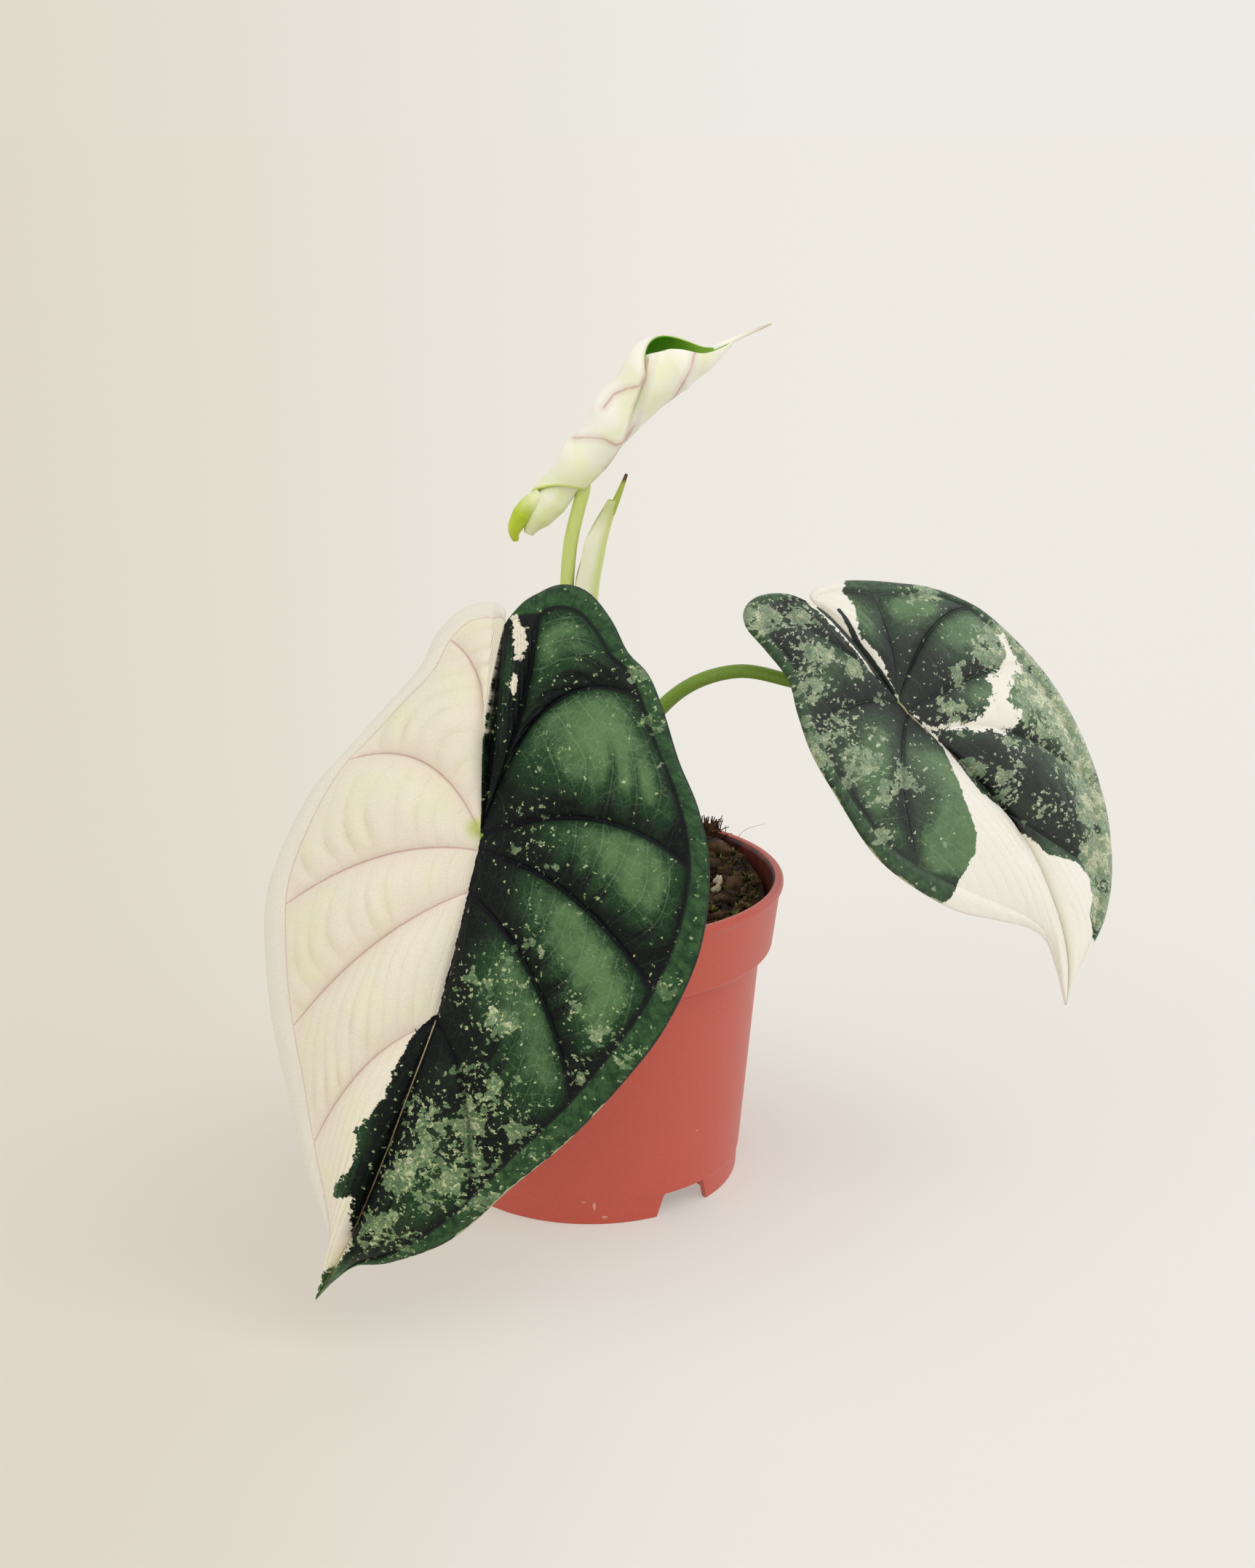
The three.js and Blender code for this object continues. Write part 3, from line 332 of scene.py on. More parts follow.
class LeafSettings(bpy.types.PropertyGroup):
    """Sizes and colours of the open leaves."""

    relief: bpy.props.FloatProperty(
        name="Quilting", description="Height of the quilted pads, relative to the real leaf", default=1.0,
        min=0.0)
    crease: bpy.props.FloatProperty(
        name="Crease depth", description="Depth of the fine creases across a pad", default=0.0011,
        unit="LENGTH", precision=5)
    crease_pitch: bpy.props.FloatProperty(
        name="Crease pitch", description="Distance between the creases of a pad", default=0.0046,
        unit="LENGTH", precision=4)
    cream: colour_property("Cream", "Leaf without green", 237, 229, 212)
    cream_tint: colour_property("Cream tint", "Yellow tint of the cream", 235, 230, 198)
    pink: colour_property("Pink veins", "Veins on the cream", 205, 170, 166)
    # The dark green beside the veins is in part painted shade, and the light green on the crests is in part a
    # painted highlight
    dark: colour_property("Dark green", "Green beside the veins", 6, 12, 11)
    middle: colour_property("Middle green", "Green of the pads", 26, 56, 29)
    light: colour_property("Light green", "Green on the crest of a pad", 90, 122, 78)
    vein: colour_property("Dark veins", "Veins on the green", 17, 14, 24)
    patch: colour_property("Pale patches", "Pale green patches", 136, 158, 116)
    underside: colour_property("Underside", "Back of a leaf", 120, 146, 104)


class YoungLeafSettings(bpy.types.PropertyGroup):
    """Colours of the rolled leaf, the stalks and the sheath."""

    outside: colour_property("Outside", "Outside of the rolled leaf", 254, 252, 243)
    tint: colour_property("Tint", "Yellow-green tint of the rolled leaf", 244, 246, 204)
    inside: colour_property("Inside", "Inside of the rolled leaf", 118, 186, 56)
    edge: colour_property("Edge", "Rolled edge of the back lobes", 192, 212, 60)
    stalk: colour_property("Stalk", "Leaf stalks", 124, 156, 44)
    stalk_pale: colour_property("Pale stalk", "Youngest leaf's stalk", 216, 228, 140)
    sheath: colour_property("Sheath", "Papery sheath", 241, 242, 214)
    sheath_keel: colour_property("Sheath keel", "Green keel of the sheath", 208, 220, 138)
    withered: colour_property("Withered", "Dried point of the sheath", 92, 66, 44)


class PotSettings(bpy.types.PropertyGroup):
    """Sizes and colours of the pot and its soil."""

    segments: bpy.props.IntProperty(
        name="Segments", description="Faces round the pot", default=192, min=32)
    plastic: colour_property("Plastic", "Pot colour", 198, 84, 68)
    scuff: colour_property("Scuff", "Scuffs on the plastic", 226, 168, 154)
    earth: colour_property("Earth", "Potting mix", 32, 23, 17)
    bark: colour_property("Bark", "Bark and fibre", 98, 70, 49)
    moss: colour_property("Moss", "Moss on the soil", 88, 92, 50)
    chips: bpy.props.IntProperty(
        name="Chips", description="Pieces of bark and peat on the soil", default=760, min=0)
    moss_tufts: bpy.props.IntProperty(
        name="Moss tufts", description="Tufts of moss on the soil", default=900, min=0)
    seed: bpy.props.IntProperty(name="Seed", description="Random seed of the soil", default=7)


class StageSettings(bpy.types.PropertyGroup):
    """Floor and light of the studio."""

    floor_left: colour_property("Floor at the left", "Colour of the floor at the left", 224, 218, 204)
    floor_right: colour_property("Floor at the right", "Colour of the floor at the right", 238, 235, 228)
    floor_glow: bpy.props.FloatProperty(
        name="Floor glow", description="Share of the floor's brightness that shadows don't take away",
        default=0.4, min=0.0, max=1.0)
    ambient: bpy.props.FloatProperty(
        name="Ambient light", description="Strength of the light from all round", default=0.79, min=0.0)
    key: bpy.props.FloatProperty(
        name="Key light", description="Strength of the soft light from the upper right", default=0.52,
        min=0.0)
    fill: bpy.props.FloatProperty(
        name="Fill light", description="Strength of the soft light from the front left", default=0.45,
        min=0.0)
    edge: bpy.props.FloatProperty(
        name="Edge light", description="Strength of the low cool light from behind at the right", default=0.4,
        min=0.0)


SETTINGS = {
    "alocasia_leaf": LeafSettings,
    "alocasia_young": YoungLeafSettings,
    "alocasia_pot": PotSettings,
    "alocasia_stage": StageSettings,
}


# Geometry helpers


def in_frame(points):
    """Points in millimetres round the pot's axis, as metres in the frame and inside the model's box."""
    placed = np.asarray(points, float) * MM + POT_AXIS
    return np.clip(placed, np.array(CAD_BOX[0]), np.array(CAD_BOX[1]))


def spline(points, samples=2000):
    """A uniform Catmull-Rom curve, as a function of the fraction of its length."""
    knots = np.array(points, float)
    last = len(knots) - 1
    place = np.linspace(0, last, samples + 1)
    index = np.minimum(place.astype(int), last - 1)
    weight = (place - index)[:, None]
    before, start = knots[np.maximum(index - 1, 0)], knots[index]
    end, after = knots[index + 1], knots[np.minimum(index + 2, last)]
    leave, arrive = (end - before) / 2, (after - start) / 2
    fine = (
        (2 * start - 2 * end + leave + arrive) * weight ** 3
        + (-3 * start + 3 * end - 2 * leave - arrive) * weight ** 2
        + leave * weight
        + start
    )
    travelled = np.concatenate([[0], np.cumsum(np.linalg.norm(np.diff(fine, axis=0), axis=1))])
    travelled /= travelled[-1]
    return lambda fraction: np.stack(
        [np.interp(fraction, travelled, fine[:, axis]) for axis in range(knots.shape[1])], -1)


def listed(values, fraction):
    """Linear interpolation in evenly spaced values."""
    return np.interp(fraction, np.linspace(0, 1, len(values)), values)


def smoothstep(low, high, value):
    """0 below low, 1 above high and smooth between."""
    scaled = np.clip((value - low) / (high - low), 0, 1)
    return scaled * scaled * (3 - 2 * scaled)


def distance_to_line(points, line):
    """Distance of each point to an open line of points, all in a plane."""
    nearest = np.full(points.shape[:-1], np.inf)
    for start, end in zip(line[:-1], line[1:]):
        start, along = np.array(start, float), np.subtract(end, start)
        reach = np.clip(((points - start) @ along) / max(along @ along, 1e-9), 0, 1)
        nearest = np.minimum(nearest, np.linalg.norm(points - start - reach[..., None] * along, axis=-1))
    return nearest


def depth_in_outline(points, outline):
    """Distance to a closed outline, positive inside it."""
    closed = [*outline, outline[0]]
    inside = np.zeros(points.shape[:-1], bool)
    x, y = points[..., 0], points[..., 1]
    for (x0, y0), (x1, y1) in zip(closed[:-1], closed[1:]):
        if y0 == y1:
            continue
        crosses = ((y0 > y) != (y1 > y)) & (x < (x1 - x0) * (y - y0) / (y1 - y0) + x0)
        inside ^= crosses
    return np.where(inside, 1, -1) * distance_to_line(points, closed)


def grid_faces(rows, columns, start=0):
    """Quads between the points of a grid that is stored row by row."""
    corner = start + (np.arange(rows - 1)[:, None] * columns + np.arange(columns - 1)).ravel()
    return np.stack([corner, corner + columns, corner + columns + 1, corner + 1], -1)


def stations(rows, columns):
    """The row and the column value at every point of a grid."""
    return np.meshgrid(rows, columns, indexing="ij")


def full_turn(sides):
    """Angles all the way round, with the first repeated at the end."""
    return np.linspace(0, 2 * np.pi, sides + 1)


def bell(distance, reach, power=2):
    """1 at no distance, falling away within a reach."""
    return np.exp(-(distance / reach) ** power)


def spots(place, marks):
    """Strength of each round spot in a list of centre, radius and strength."""
    return [strength * bell(np.linalg.norm(place - np.array(centre, float), axis=-1), radius)
            for centre, radius, strength in marks]


def linked(name, data):
    """A new object in the scene."""
    made = bpy.data.objects.new(name, data)
    bpy.context.scene.collection.objects.link(made)
    return made


def bare_object(name, points, edges=(), faces=(), marks=None):
    """A mesh object as it is given, with one named value for each point and mark."""
    mesh = bpy.data.meshes.new(name)
    faces = faces.tolist() if isinstance(faces, np.ndarray) else faces
    mesh.from_pydata(np.asarray(points).tolist(), edges, faces)
    for mark, values in (marks or {}).items():
        values = np.asarray(values, float)
        kind, field = ("FLOAT_VECTOR", "vector") if values.ndim == 2 else ("FLOAT", "value")
        mesh.attributes.new(mark, kind, "POINT").data.foreach_set(field, values.ravel())
    return linked(name, mesh)


def face_outwards(mesh, weld=0.0, sliver=0.0):
    """Welds near points, drops slivers and turns every face outwards."""
    body = bmesh.new()
    body.from_mesh(mesh)
    if weld:
        bmesh.ops.remove_doubles(body, verts=body.verts, dist=weld)
    if sliver:
        bmesh.ops.dissolve_degenerate(body, edges=body.edges, dist=sliver)
    bmesh.ops.recalc_face_normals(body, faces=body.faces)
    if body.calc_volume(signed=True) < 0:
        bmesh.ops.reverse_faces(body, faces=body.faces)
    body.to_mesh(mesh)
    body.free()


def make_object(name, points, faces, marks=None):
    """A welded smooth mesh object with one named value for each point and mark."""
    made = bare_object(name, points, faces=faces, marks=marks)
    face_outwards(made.data, weld=2e-6, sliver=1e-6)
    made.data.shade_smooth()
    return made


def sheet_object(name, points, marks=None, caps=None):
    """An object from a grid of points in millimetres, with any faces that close its ends."""
    faces = grid_faces(*points.shape[:2])
    if caps is not None:
        faces = np.concatenate([faces, caps])
    marks = {mark: np.ravel(values) for mark, values in (marks or {}).items()}
    return make_object(name, in_frame(points.reshape(-1, 3)), faces, marks)


def end_caps(rows, wide, columns, far):
    """Faces between the two layers of a folded sheet, along its first and its last row."""
    return np.array([(row * wide + j, row * wide + j + 1, row * wide + far - j - 1, row * wide + far - j)
                     for row in (0, rows - 1) for j in range(columns - 1)])


def finish_piece(piece, slot, *nodes, material=None):
    """Gives a piece its finish and its place in the frame."""
    if material is not None:
        piece.data.materials.clear()
        piece.data.materials.append(material)
    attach(piece, "root")
    if nodes:
        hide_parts(*nodes)
    return piece


# Node helpers


def both_ways(operation):
    """An operator between a field and a value, and the same with the value first."""
    return (lambda field, value: field.graph.math(operation, field, value),
            lambda field, value: field.graph.math(operation, value, field))


class Field:
    """One output of a node. A sum of fields and numbers adds the math nodes for it."""

    def __init__(self, graph, socket):
        self.graph, self.socket = graph, socket

    __add__, __radd__ = both_ways("ADD")
    __sub__, __rsub__ = both_ways("SUBTRACT")
    __mul__, __rmul__ = both_ways("MULTIPLY")
    __truediv__, __rtruediv__ = both_ways("DIVIDE")


class Graph:
    """A node tree that is built in the script."""

    def __init__(self, tree):
        self.tree = tree

    def node(self, kind, inputs=None, **settings):
        """Adds a node with its settings and its inputs, by name or number."""
        made = self.tree.nodes.new(kind)
        for key, value in settings.items():
            setattr(made, key, value)
        for key, value in (inputs or {}).items():
            self.feed(made.inputs[key], value)
        return made

    def out(self, kind, inputs=None, output=0, **settings):
        """Adds a node and returns one of its outputs."""
        return Field(self, self.node(kind, inputs, **settings).outputs[output])

    def feed(self, socket, value):
        """Links a socket to a field, or gives it a value."""
        if isinstance(value, Field):
            self.tree.links.new(value.socket, socket)
        else:
            socket.default_value = value

    def math(self, operation, first, second=0.0, clamp=False):
        """One sum of two numbers or fields."""
        return self.out("ShaderNodeMath", {0: first, 1: second}, operation=operation, use_clamp=clamp)

    def vector(self, operation, first, second=(0.0, 0.0, 0.0), output=0):
        """One sum of two places."""
        return self.out("ShaderNodeVectorMath", {0: first, 1: second}, output, operation=operation)

    def split(self, vector):
        """The three coordinates of a place."""
        return [Field(self, socket) for socket in self.node("ShaderNodeSeparateXYZ", {0: vector}).outputs]

    def join(self, x=0.0, y=0.0, z=0.0):
        """A place from its coordinates."""
        return self.out("ShaderNodeCombineXYZ", {0: x, 1: y, 2: z})

    def ramp(self, value, low, high, start=0.0, end=1.0):
        """A smooth step from start to end as the value goes from low to high."""
        return self.out("ShaderNodeMapRange", {0: value, 1: low, 2: high, 3: start, 4: end},
                        interpolation_type="SMOOTHSTEP")

    def fade(self, value, low, high, start=1.0):
        """A smooth step from start down to 0 as the value goes from low to high."""
        return self.ramp(value, low, high, start, 0.0)

    def mix(self, factor, first, second):
        """Two colours mixed."""
        return self.out("ShaderNodeMix", {0: factor, 6: first, 7: second}, 2, data_type="RGBA")


class Tree(Graph):
    """A geometry node tree with named inputs."""

    def __init__(self, name):
        super().__init__(bpy.data.node_groups.new(name, "GeometryNodeTree"))
        for way in ("INPUT", "OUTPUT"):
            self.tree.interface.new_socket("Geometry", in_out=way, socket_type="NodeSocketGeometry")
        self.source = self.tree.nodes.new("NodeGroupInput")
        self.result = self.tree.nodes.new("NodeGroupOutput")
        self.values = {}

    def base(self):
        """The geometry that the tree works on."""
        return Field(self, self.source.outputs[0])

    def input(self, name, kind, value):
        """Adds a named input and returns it."""
        item = self.tree.interface.new_socket(name, in_out="INPUT", socket_type=f"NodeSocket{kind}")
        self.values[item.identifier] = value
        return Field(self, next(end for end in self.source.outputs if end.identifier == item.identifier))

    def finish(self, geometry, material):
        """Ends the tree with real geometry in one material."""
        real = self.out("GeometryNodeRealizeInstances", {"Geometry": geometry})
        smooth = self.out("GeometryNodeSetShadeSmooth", {"Geometry": real})
        self.feed(self.result.inputs[0],
                  self.out("GeometryNodeSetMaterial", {"Geometry": smooth, "Material": material}))

    def apply(self, name, base):
        """Runs the tree on a base object and returns the result as a plain mesh object."""
        modifier = base.modifiers.new("nodes", "NODES")
        modifier.node_group = self.tree
        for identifier, value in self.values.items():
            modifier[identifier] = value
        bpy.context.view_layer.update()
        evaluated = base.evaluated_get(bpy.context.evaluated_depsgraph_get())
        mesh = bpy.data.meshes.new_from_object(evaluated)
        mesh.name = name
        base.modifiers.remove(modifier)
        bpy.data.objects.remove(base)
        return linked(name, mesh)


def line_object(name, points, marks=None):
    """A line of points joined by edges, as the base of a tree."""
    return bare_object(name, points, [(i, i + 1) for i in range(len(points) - 1)], marks=marks)


class Recipe(Graph):
    """A material that is built up node by node."""

    def __init__(self, name):
        self.material = bpy.data.materials.new(name)
        self.material.use_nodes = True
        super().__init__(self.material.node_tree)
        self.shader = self.tree.nodes["Principled BSDF"]

    def mark(self, name, vector=False):
        """A value that the mesh carries."""
        return self.out("ShaderNodeAttribute", output="Vector" if vector else "Fac", attribute_name=name)

    def place(self):
        """The place on the object."""
        return self.out("ShaderNodeTexCoord", output="Object")

    def scaled(self, vector, factors):
        """A place stretched along its axes."""
        return self.vector("MULTIPLY", vector, factors)

    def shifted(self, vector, noise_colour, amount):
        """A place moved about by a noise colour."""
        centred = self.vector("SUBTRACT", noise_colour, (0.5, 0.5, 0.5))
        moved = self.out("ShaderNodeVectorMath", {0: centred, "Scale": amount}, operation="SCALE")
        return self.vector("ADD", vector, moved)

    def noise(self, vector, scale, detail=2.0, roughness=0.5, output="Fac"):
        """Soft noise from 0 to 1."""
        return self.out("ShaderNodeTexNoise", {"Vector": vector, "Scale": scale, "Detail": detail,
                                               "Roughness": roughness}, output)

    def cells(self, vector, scale, feature="F1", output="Distance"):
        """Cells of a given number per unit of place."""
        return self.out("ShaderNodeTexVoronoi", {"Vector": vector, "Scale": scale}, output, feature=feature)

    def bump(self, height, depth):
        """Roughens the surface by a height from 0 to 1 and a depth in metres."""
        self.feed(self.shader.inputs["Normal"],
                  self.out("ShaderNodeBump", {"Height": height, "Distance": depth, "Strength": 1.0}))

    def translucent(self, weight, radius):
        """Lets a little light through the surface."""
        self.shader.inputs["Subsurface Weight"].default_value = weight
        self.shader.inputs["Subsurface Radius"].default_value = radius
        self.shader.inputs["Subsurface Scale"].default_value = 0.5

    def finish(self, colour, roughness, specular=0.5):
        """Sets the surface colour and gloss and returns the material."""
        self.feed(self.shader.inputs["Base Color"], colour)
        self.feed(self.shader.inputs["Roughness"], roughness)
        self.shader.inputs["Specular IOR Level"].default_value = specular
        return self.material


# Open leaves


def leaf_axes(leaf):
    """Directions across, along and out of a leaf's plane."""
    azimuth, elevation, roll = (math.radians(leaf[key]) for key in ("azimuth", "elevation", "roll"))
    facing = np.array([math.sin(azimuth) * math.cos(elevation), -math.cos(azimuth) * math.cos(elevation),
                       math.sin(elevation)])
    steepest = np.array([-math.sin(azimuth) * math.sin(elevation), math.cos(azimuth) * math.sin(elevation),
                         math.cos(elevation)])
    along = steepest * math.cos(roll) + np.cross(steepest, facing) * math.sin(roll)
    return np.cross(along, facing), along, facing


class HalfBlade:
    """One half of a leaf blade, with its vein lines from the notch to the tip."""

    def __init__(self, leaf, side):
        self.midrib, self.margin = spline(leaf["midrib"]), spline(leaf[side])
        veins = leaf[f"{side}_veins"]
        self.roots = [0, *(self.nearest(self.midrib, root) for root in leaf["roots"]), 1]
        self.ends = [0, *(self.nearest(self.margin, end) for _, end in veins), 1]
        self.elbows = np.array([leaf[side][0], *(elbow for elbow, _ in veins), leaf[side][-1]], float)
        self.lines = len(self.roots) - 1
        self.veins = [k for k in range(self.lines + 1) if k not in leaf["plain_lines"][side]]
        steps = np.diff(self.margin(np.linspace(0, 1, 400)), axis=0)
        self.margin_length = np.linalg.norm(steps, axis=1).sum()

    @staticmethod
    def nearest(curve, place):
        """Fraction of a curve's length that lies nearest to a place."""
        fractions = np.linspace(0, 1, 241)
        return fractions[np.argmin(np.linalg.norm(curve(fractions) - np.array(place), axis=1))]

    def at(self, line, width):
        """Place on the leaf's plane, and the length of the vein line there."""
        lines = np.arange(len(self.roots))
        root = self.midrib(np.interp(line, lines, self.roots))
        end = self.margin(np.interp(line, lines, self.ends))
        elbow = np.stack([np.interp(line, lines, self.elbows[:, axis]) for axis in (0, 1)], -1)
        w = np.asarray(width)[..., None]
        place = root * (1 - w) ** 2 + elbow * 2 * w * (1 - w) + end * w ** 2
        return place, np.linalg.norm(end - root, axis=-1)

    def survey(self, line, width):
        """Measures that the relief and the markings need at each place."""
        place, length = self.at(line, width)
        veins = np.array(self.veins, float)
        pad = np.clip(np.searchsorted(veins, line, "right") - 1, 0, len(veins) - 2)
        low, high = veins[pad], veins[pad + 1]
        part = (line - low) / (high - low)
        spacing = np.linalg.norm(self.at(low, width)[0] - self.at(high, width)[0], axis=-1)
        before = np.where(pad == 0, 99, part * spacing)
        after = np.where(pad == len(veins) - 2, 99, (1 - part) * spacing)
        travelled = width * length
        margin_place = np.interp(line, np.arange(self.lines + 1), self.ends) * self.margin_length
        return {
            "place": place, "length": length, "part": part, "spacing": spacing, "width": width,
            "before": before, "after": after, "midrib": travelled,
            "band": (BLADE["band"] - width) * length, "side_vein": np.minimum(before, after),
            "run": travelled - 0.12 * spacing * np.sin(np.pi * part), "rim_run": margin_place,
        }


def pad_rise(found, leaf):
    """The quilted pads and the raised band along the margin, as in the construction."""
    band = BLADE["band"]
    across = np.clip((found["width"] - band) / (1 - band), 0, 1)
    rolled = BLADE["band_rise"] * np.minimum(1, found["length"] / 20) * np.sin(np.pi * across)
    between = np.clip(np.sin(np.pi * found["part"]), 0, None) ** 0.8
    outward = np.clip(np.sin(np.pi * np.minimum(found["width"] / band, 1)), 0, None) ** 0.6
    height = BLADE["pad_rise"] * leaf["look"]["pads"] * np.minimum(found["spacing"], 22)
    padded = height * between * outward
    return np.where(found["width"] >= band, rolled, padded)


def creases(found, leaf, settings):
    """Phase of the fine creases that branch from the veins, and how strong they are."""
    across, along = found["place"][..., 0], found["place"][..., 1]
    sway = 0.5 * np.sin(0.31 * across + 0.2 * along) + 0.35 * np.sin(0.23 * along - 0.4 * across + 1)
    phase = (found["run"] + sway) / (settings.crease_pitch / MM)
    strength = leaf["look"]["creases"] * (0.65 + 0.35 * np.sin(0.37 * across + 2 * np.sin(0.29 * along)))
    strength = strength * (0.4 + 0.6 * smoothstep(0.2, 0.55, found["width"]))
    strength = strength * (0.25 + 0.75 * smoothstep(0.25, 0.75, found["part"]))
    strength = strength * np.sin(np.pi * found["part"]).clip(0) ** 0.5
    return phase, strength * np.clip(found["band"] / 2.5, 0, 1) * np.clip(found["midrib"] / 6, 0, 1)


def blade_relief(found, leaf, settings):
    """Height of the face above the smooth leaf: pads, creases and sunken veins."""
    fade = np.clip(found["length"] / 15, 0, 1) * np.clip((1 - found["width"]) / 0.1, 0, 1)
    phase, strength = creases(found, leaf, settings)
    creased = settings.crease / MM * (np.abs(np.sin(np.pi * phase)) ** 0.7 - 0.5) * strength
    groove = 0.3 * bell(found["side_vein"], 0.6) * np.clip(found["band"] / 2, 0, 1)
    midrib = 0.35 * bell(found["midrib"], 0.8)
    height = settings.relief * pad_rise(found, leaf)
    return height + fade * (creased - groove - midrib + lumps(found["place"]))


def lumps(place):
    """Small uneven swellings of a leaf."""
    total = np.zeros(place.shape[:-1])
    for number in range(1, 9):
        heading, pace = 2.1 * number, 0.16 + 0.11 * number
        phase = pace * (place[..., 0] * math.cos(heading) + place[..., 1] * math.sin(heading))
        total += np.sin(phase + 1.7 * number + np.sin(0.6 * phase)) / number ** 0.8
    return 0.07 * total


def blade_keel(found):
    """How far the veins stand out of the back of a leaf."""
    fade = np.clip(found["length"] / 15, 0, 1) * np.clip(found["band"] / 4, 0, 1)
    side_vein = 0.4 * bell(found["side_vein"], 0.8)
    midrib = 0.9 * bell(found["midrib"], 1.3)
    return fade * np.maximum(side_vein, midrib)


def blade_gloom(found, leaf):
    """Darkness of the green, from 1 beside the veins to 0 on the crest of a pad. It is partly the leaf's own
    colour and partly painted shade on the pads' slopes down to the veins, the midrib and the band.
    """
    reach = leaf["shade_reach"]
    parts = [
        bell(found["after"], reach["vein"], 1.8),
        0.7 * bell(found["before"], 1.7, 1.4),
        bell(found["midrib"], reach["midrib"]),
        0.85 * bell(np.abs(found["band"]), reach["band"], 1.4),
        *spots(found["place"], leaf["dim"]),
    ]
    gloom = 1 - np.prod([1 - part for part in parts], axis=0)
    for glow in spots(found["place"], leaf["glow"]):
        gloom = gloom * (1 - glow)
    return gloom


def pattern_marks(leaf, place):
    """Depth in the cream, raggedness of its edge, and the strength of the flecks."""
    cream = np.full(place.shape[:-1], -50.0)
    ragged = np.zeros(place.shape[:-1])
    for outline, raggedness in leaf["cream"]:
        depth = depth_in_outline(place, outline)
        ragged = np.where(depth > cream, raggedness, ragged)
        cream = np.maximum(cream, depth)
    flecks = np.maximum.reduce([np.zeros(place.shape[:-1]), *spots(place, leaf["flecks"])])
    stripe = np.full(place.shape[:-1], 50.0)
    for line, half_width in leaf["stripes"]:
        stripe = np.minimum(stripe, distance_to_line(place, line) - half_width)
    return cream, ragged, flecks, stripe


def within(values, limits):
    """Whether values lie between two limits."""
    return (values > limits[0]) & (values < limits[1])


def blade_sheet(leaf, side, settings):
    """Points and marks of half a blade: face, rim and back in one grid."""
    half = HalfBlade(leaf, side)
    rows = BLADE["rows_a_pad"]
    steps = np.arange(half.lines * rows + 1) / rows
    line_stations = steps - 0.09 * np.sin(2 * np.pi * steps)
    inset = 1 - BLADE["rim_inset"]
    face = np.linspace(0, inset, BLADE["face_columns"])
    back = np.linspace(inset, 0, BLADE["back_columns"])
    rim = [inset + 0.67 * BLADE["rim_inset"], 1, inset + 0.67 * BLADE["rim_inset"]]
    width_stations = np.concatenate([face, rim, back])
    sunk = np.concatenate([np.zeros(len(face)), [0.12, 0.5, 0.88], np.ones(len(back))])
    line, width = stations(line_stations, width_stations)
    found = half.survey(line, width)
    below = np.broadcast_to(sunk, line.shape)
    length = found["length"]
    form = length * (leaf["fold"] * width - (leaf["fold"] + leaf["droop"]) * width ** 2)
    form -= leaf["arch"] * (found["place"][..., 1] - leaf["arch_centre"]) ** 2
    height = np.where(
        below > 0.9,
        form + settings.relief * pad_rise(found, leaf) - BLADE["thickness"] - blade_keel(found),
        form + blade_relief(found, leaf, settings) - BLADE["thickness"] * below,
    )
    across, along, facing = leaf_axes(leaf)
    place = found["place"]
    points = np.array(leaf["joint"], float) + place[..., :1] * across + place[..., 1:] * along
    points = points + height[..., None] * facing
    cream, ragged, flecks, stripe = pattern_marks(leaf, place)
    phase, strength = creases(found, leaf, settings)
    marks = {
        "crease": strength, "rim_run": found["rim_run"],
        "leaf_place": np.concatenate([place, np.zeros_like(place[..., :1])], -1).reshape(-1, 3),
        "side_vein": found["side_vein"], "midrib": found["midrib"], "band": found["band"],
        "run": phase, "gloom": blade_gloom(found, leaf),
        "cream": cream, "ragged": ragged, "flecks": flecks, "stripe": stripe,
        "underside": (below > 0.9).astype(float), "edge": (1 - width) * length,
        "broad": smoothstep(5, 13, length),
        "rib_line": np.where(within(place[..., 1], leaf["rib_line"]), found["midrib"], 9),
        "pale_edge": np.where(within(place[..., 1], leaf["pale_edges"].get(side, (1, 0))),
                              (1 - width) * length, 9),
    }
    marks = {name: values if values.ndim == 2 and values.shape[-1] == 3 else values.ravel()
             for name, values in marks.items()}
    return points.reshape(-1, 3), grid_faces(*line.shape), marks


def make_blade(leaf, settings):
    """An open leaf as one mesh. In places along the midrib its halves stand up to 0.3 mm apart."""
    sheets = [blade_sheet(leaf, side, settings) for side in ("right", "left")]
    points = np.concatenate([sheet[0] for sheet in sheets])
    faces = np.concatenate([sheets[0][1], sheets[1][1][:, ::-1] + len(sheets[0][0])])
    marks = {name: np.concatenate([sheet[2][name] for sheet in sheets]) for name in sheets[0][2]}
    return make_object(leaf["piece"], in_frame(points), faces, marks)


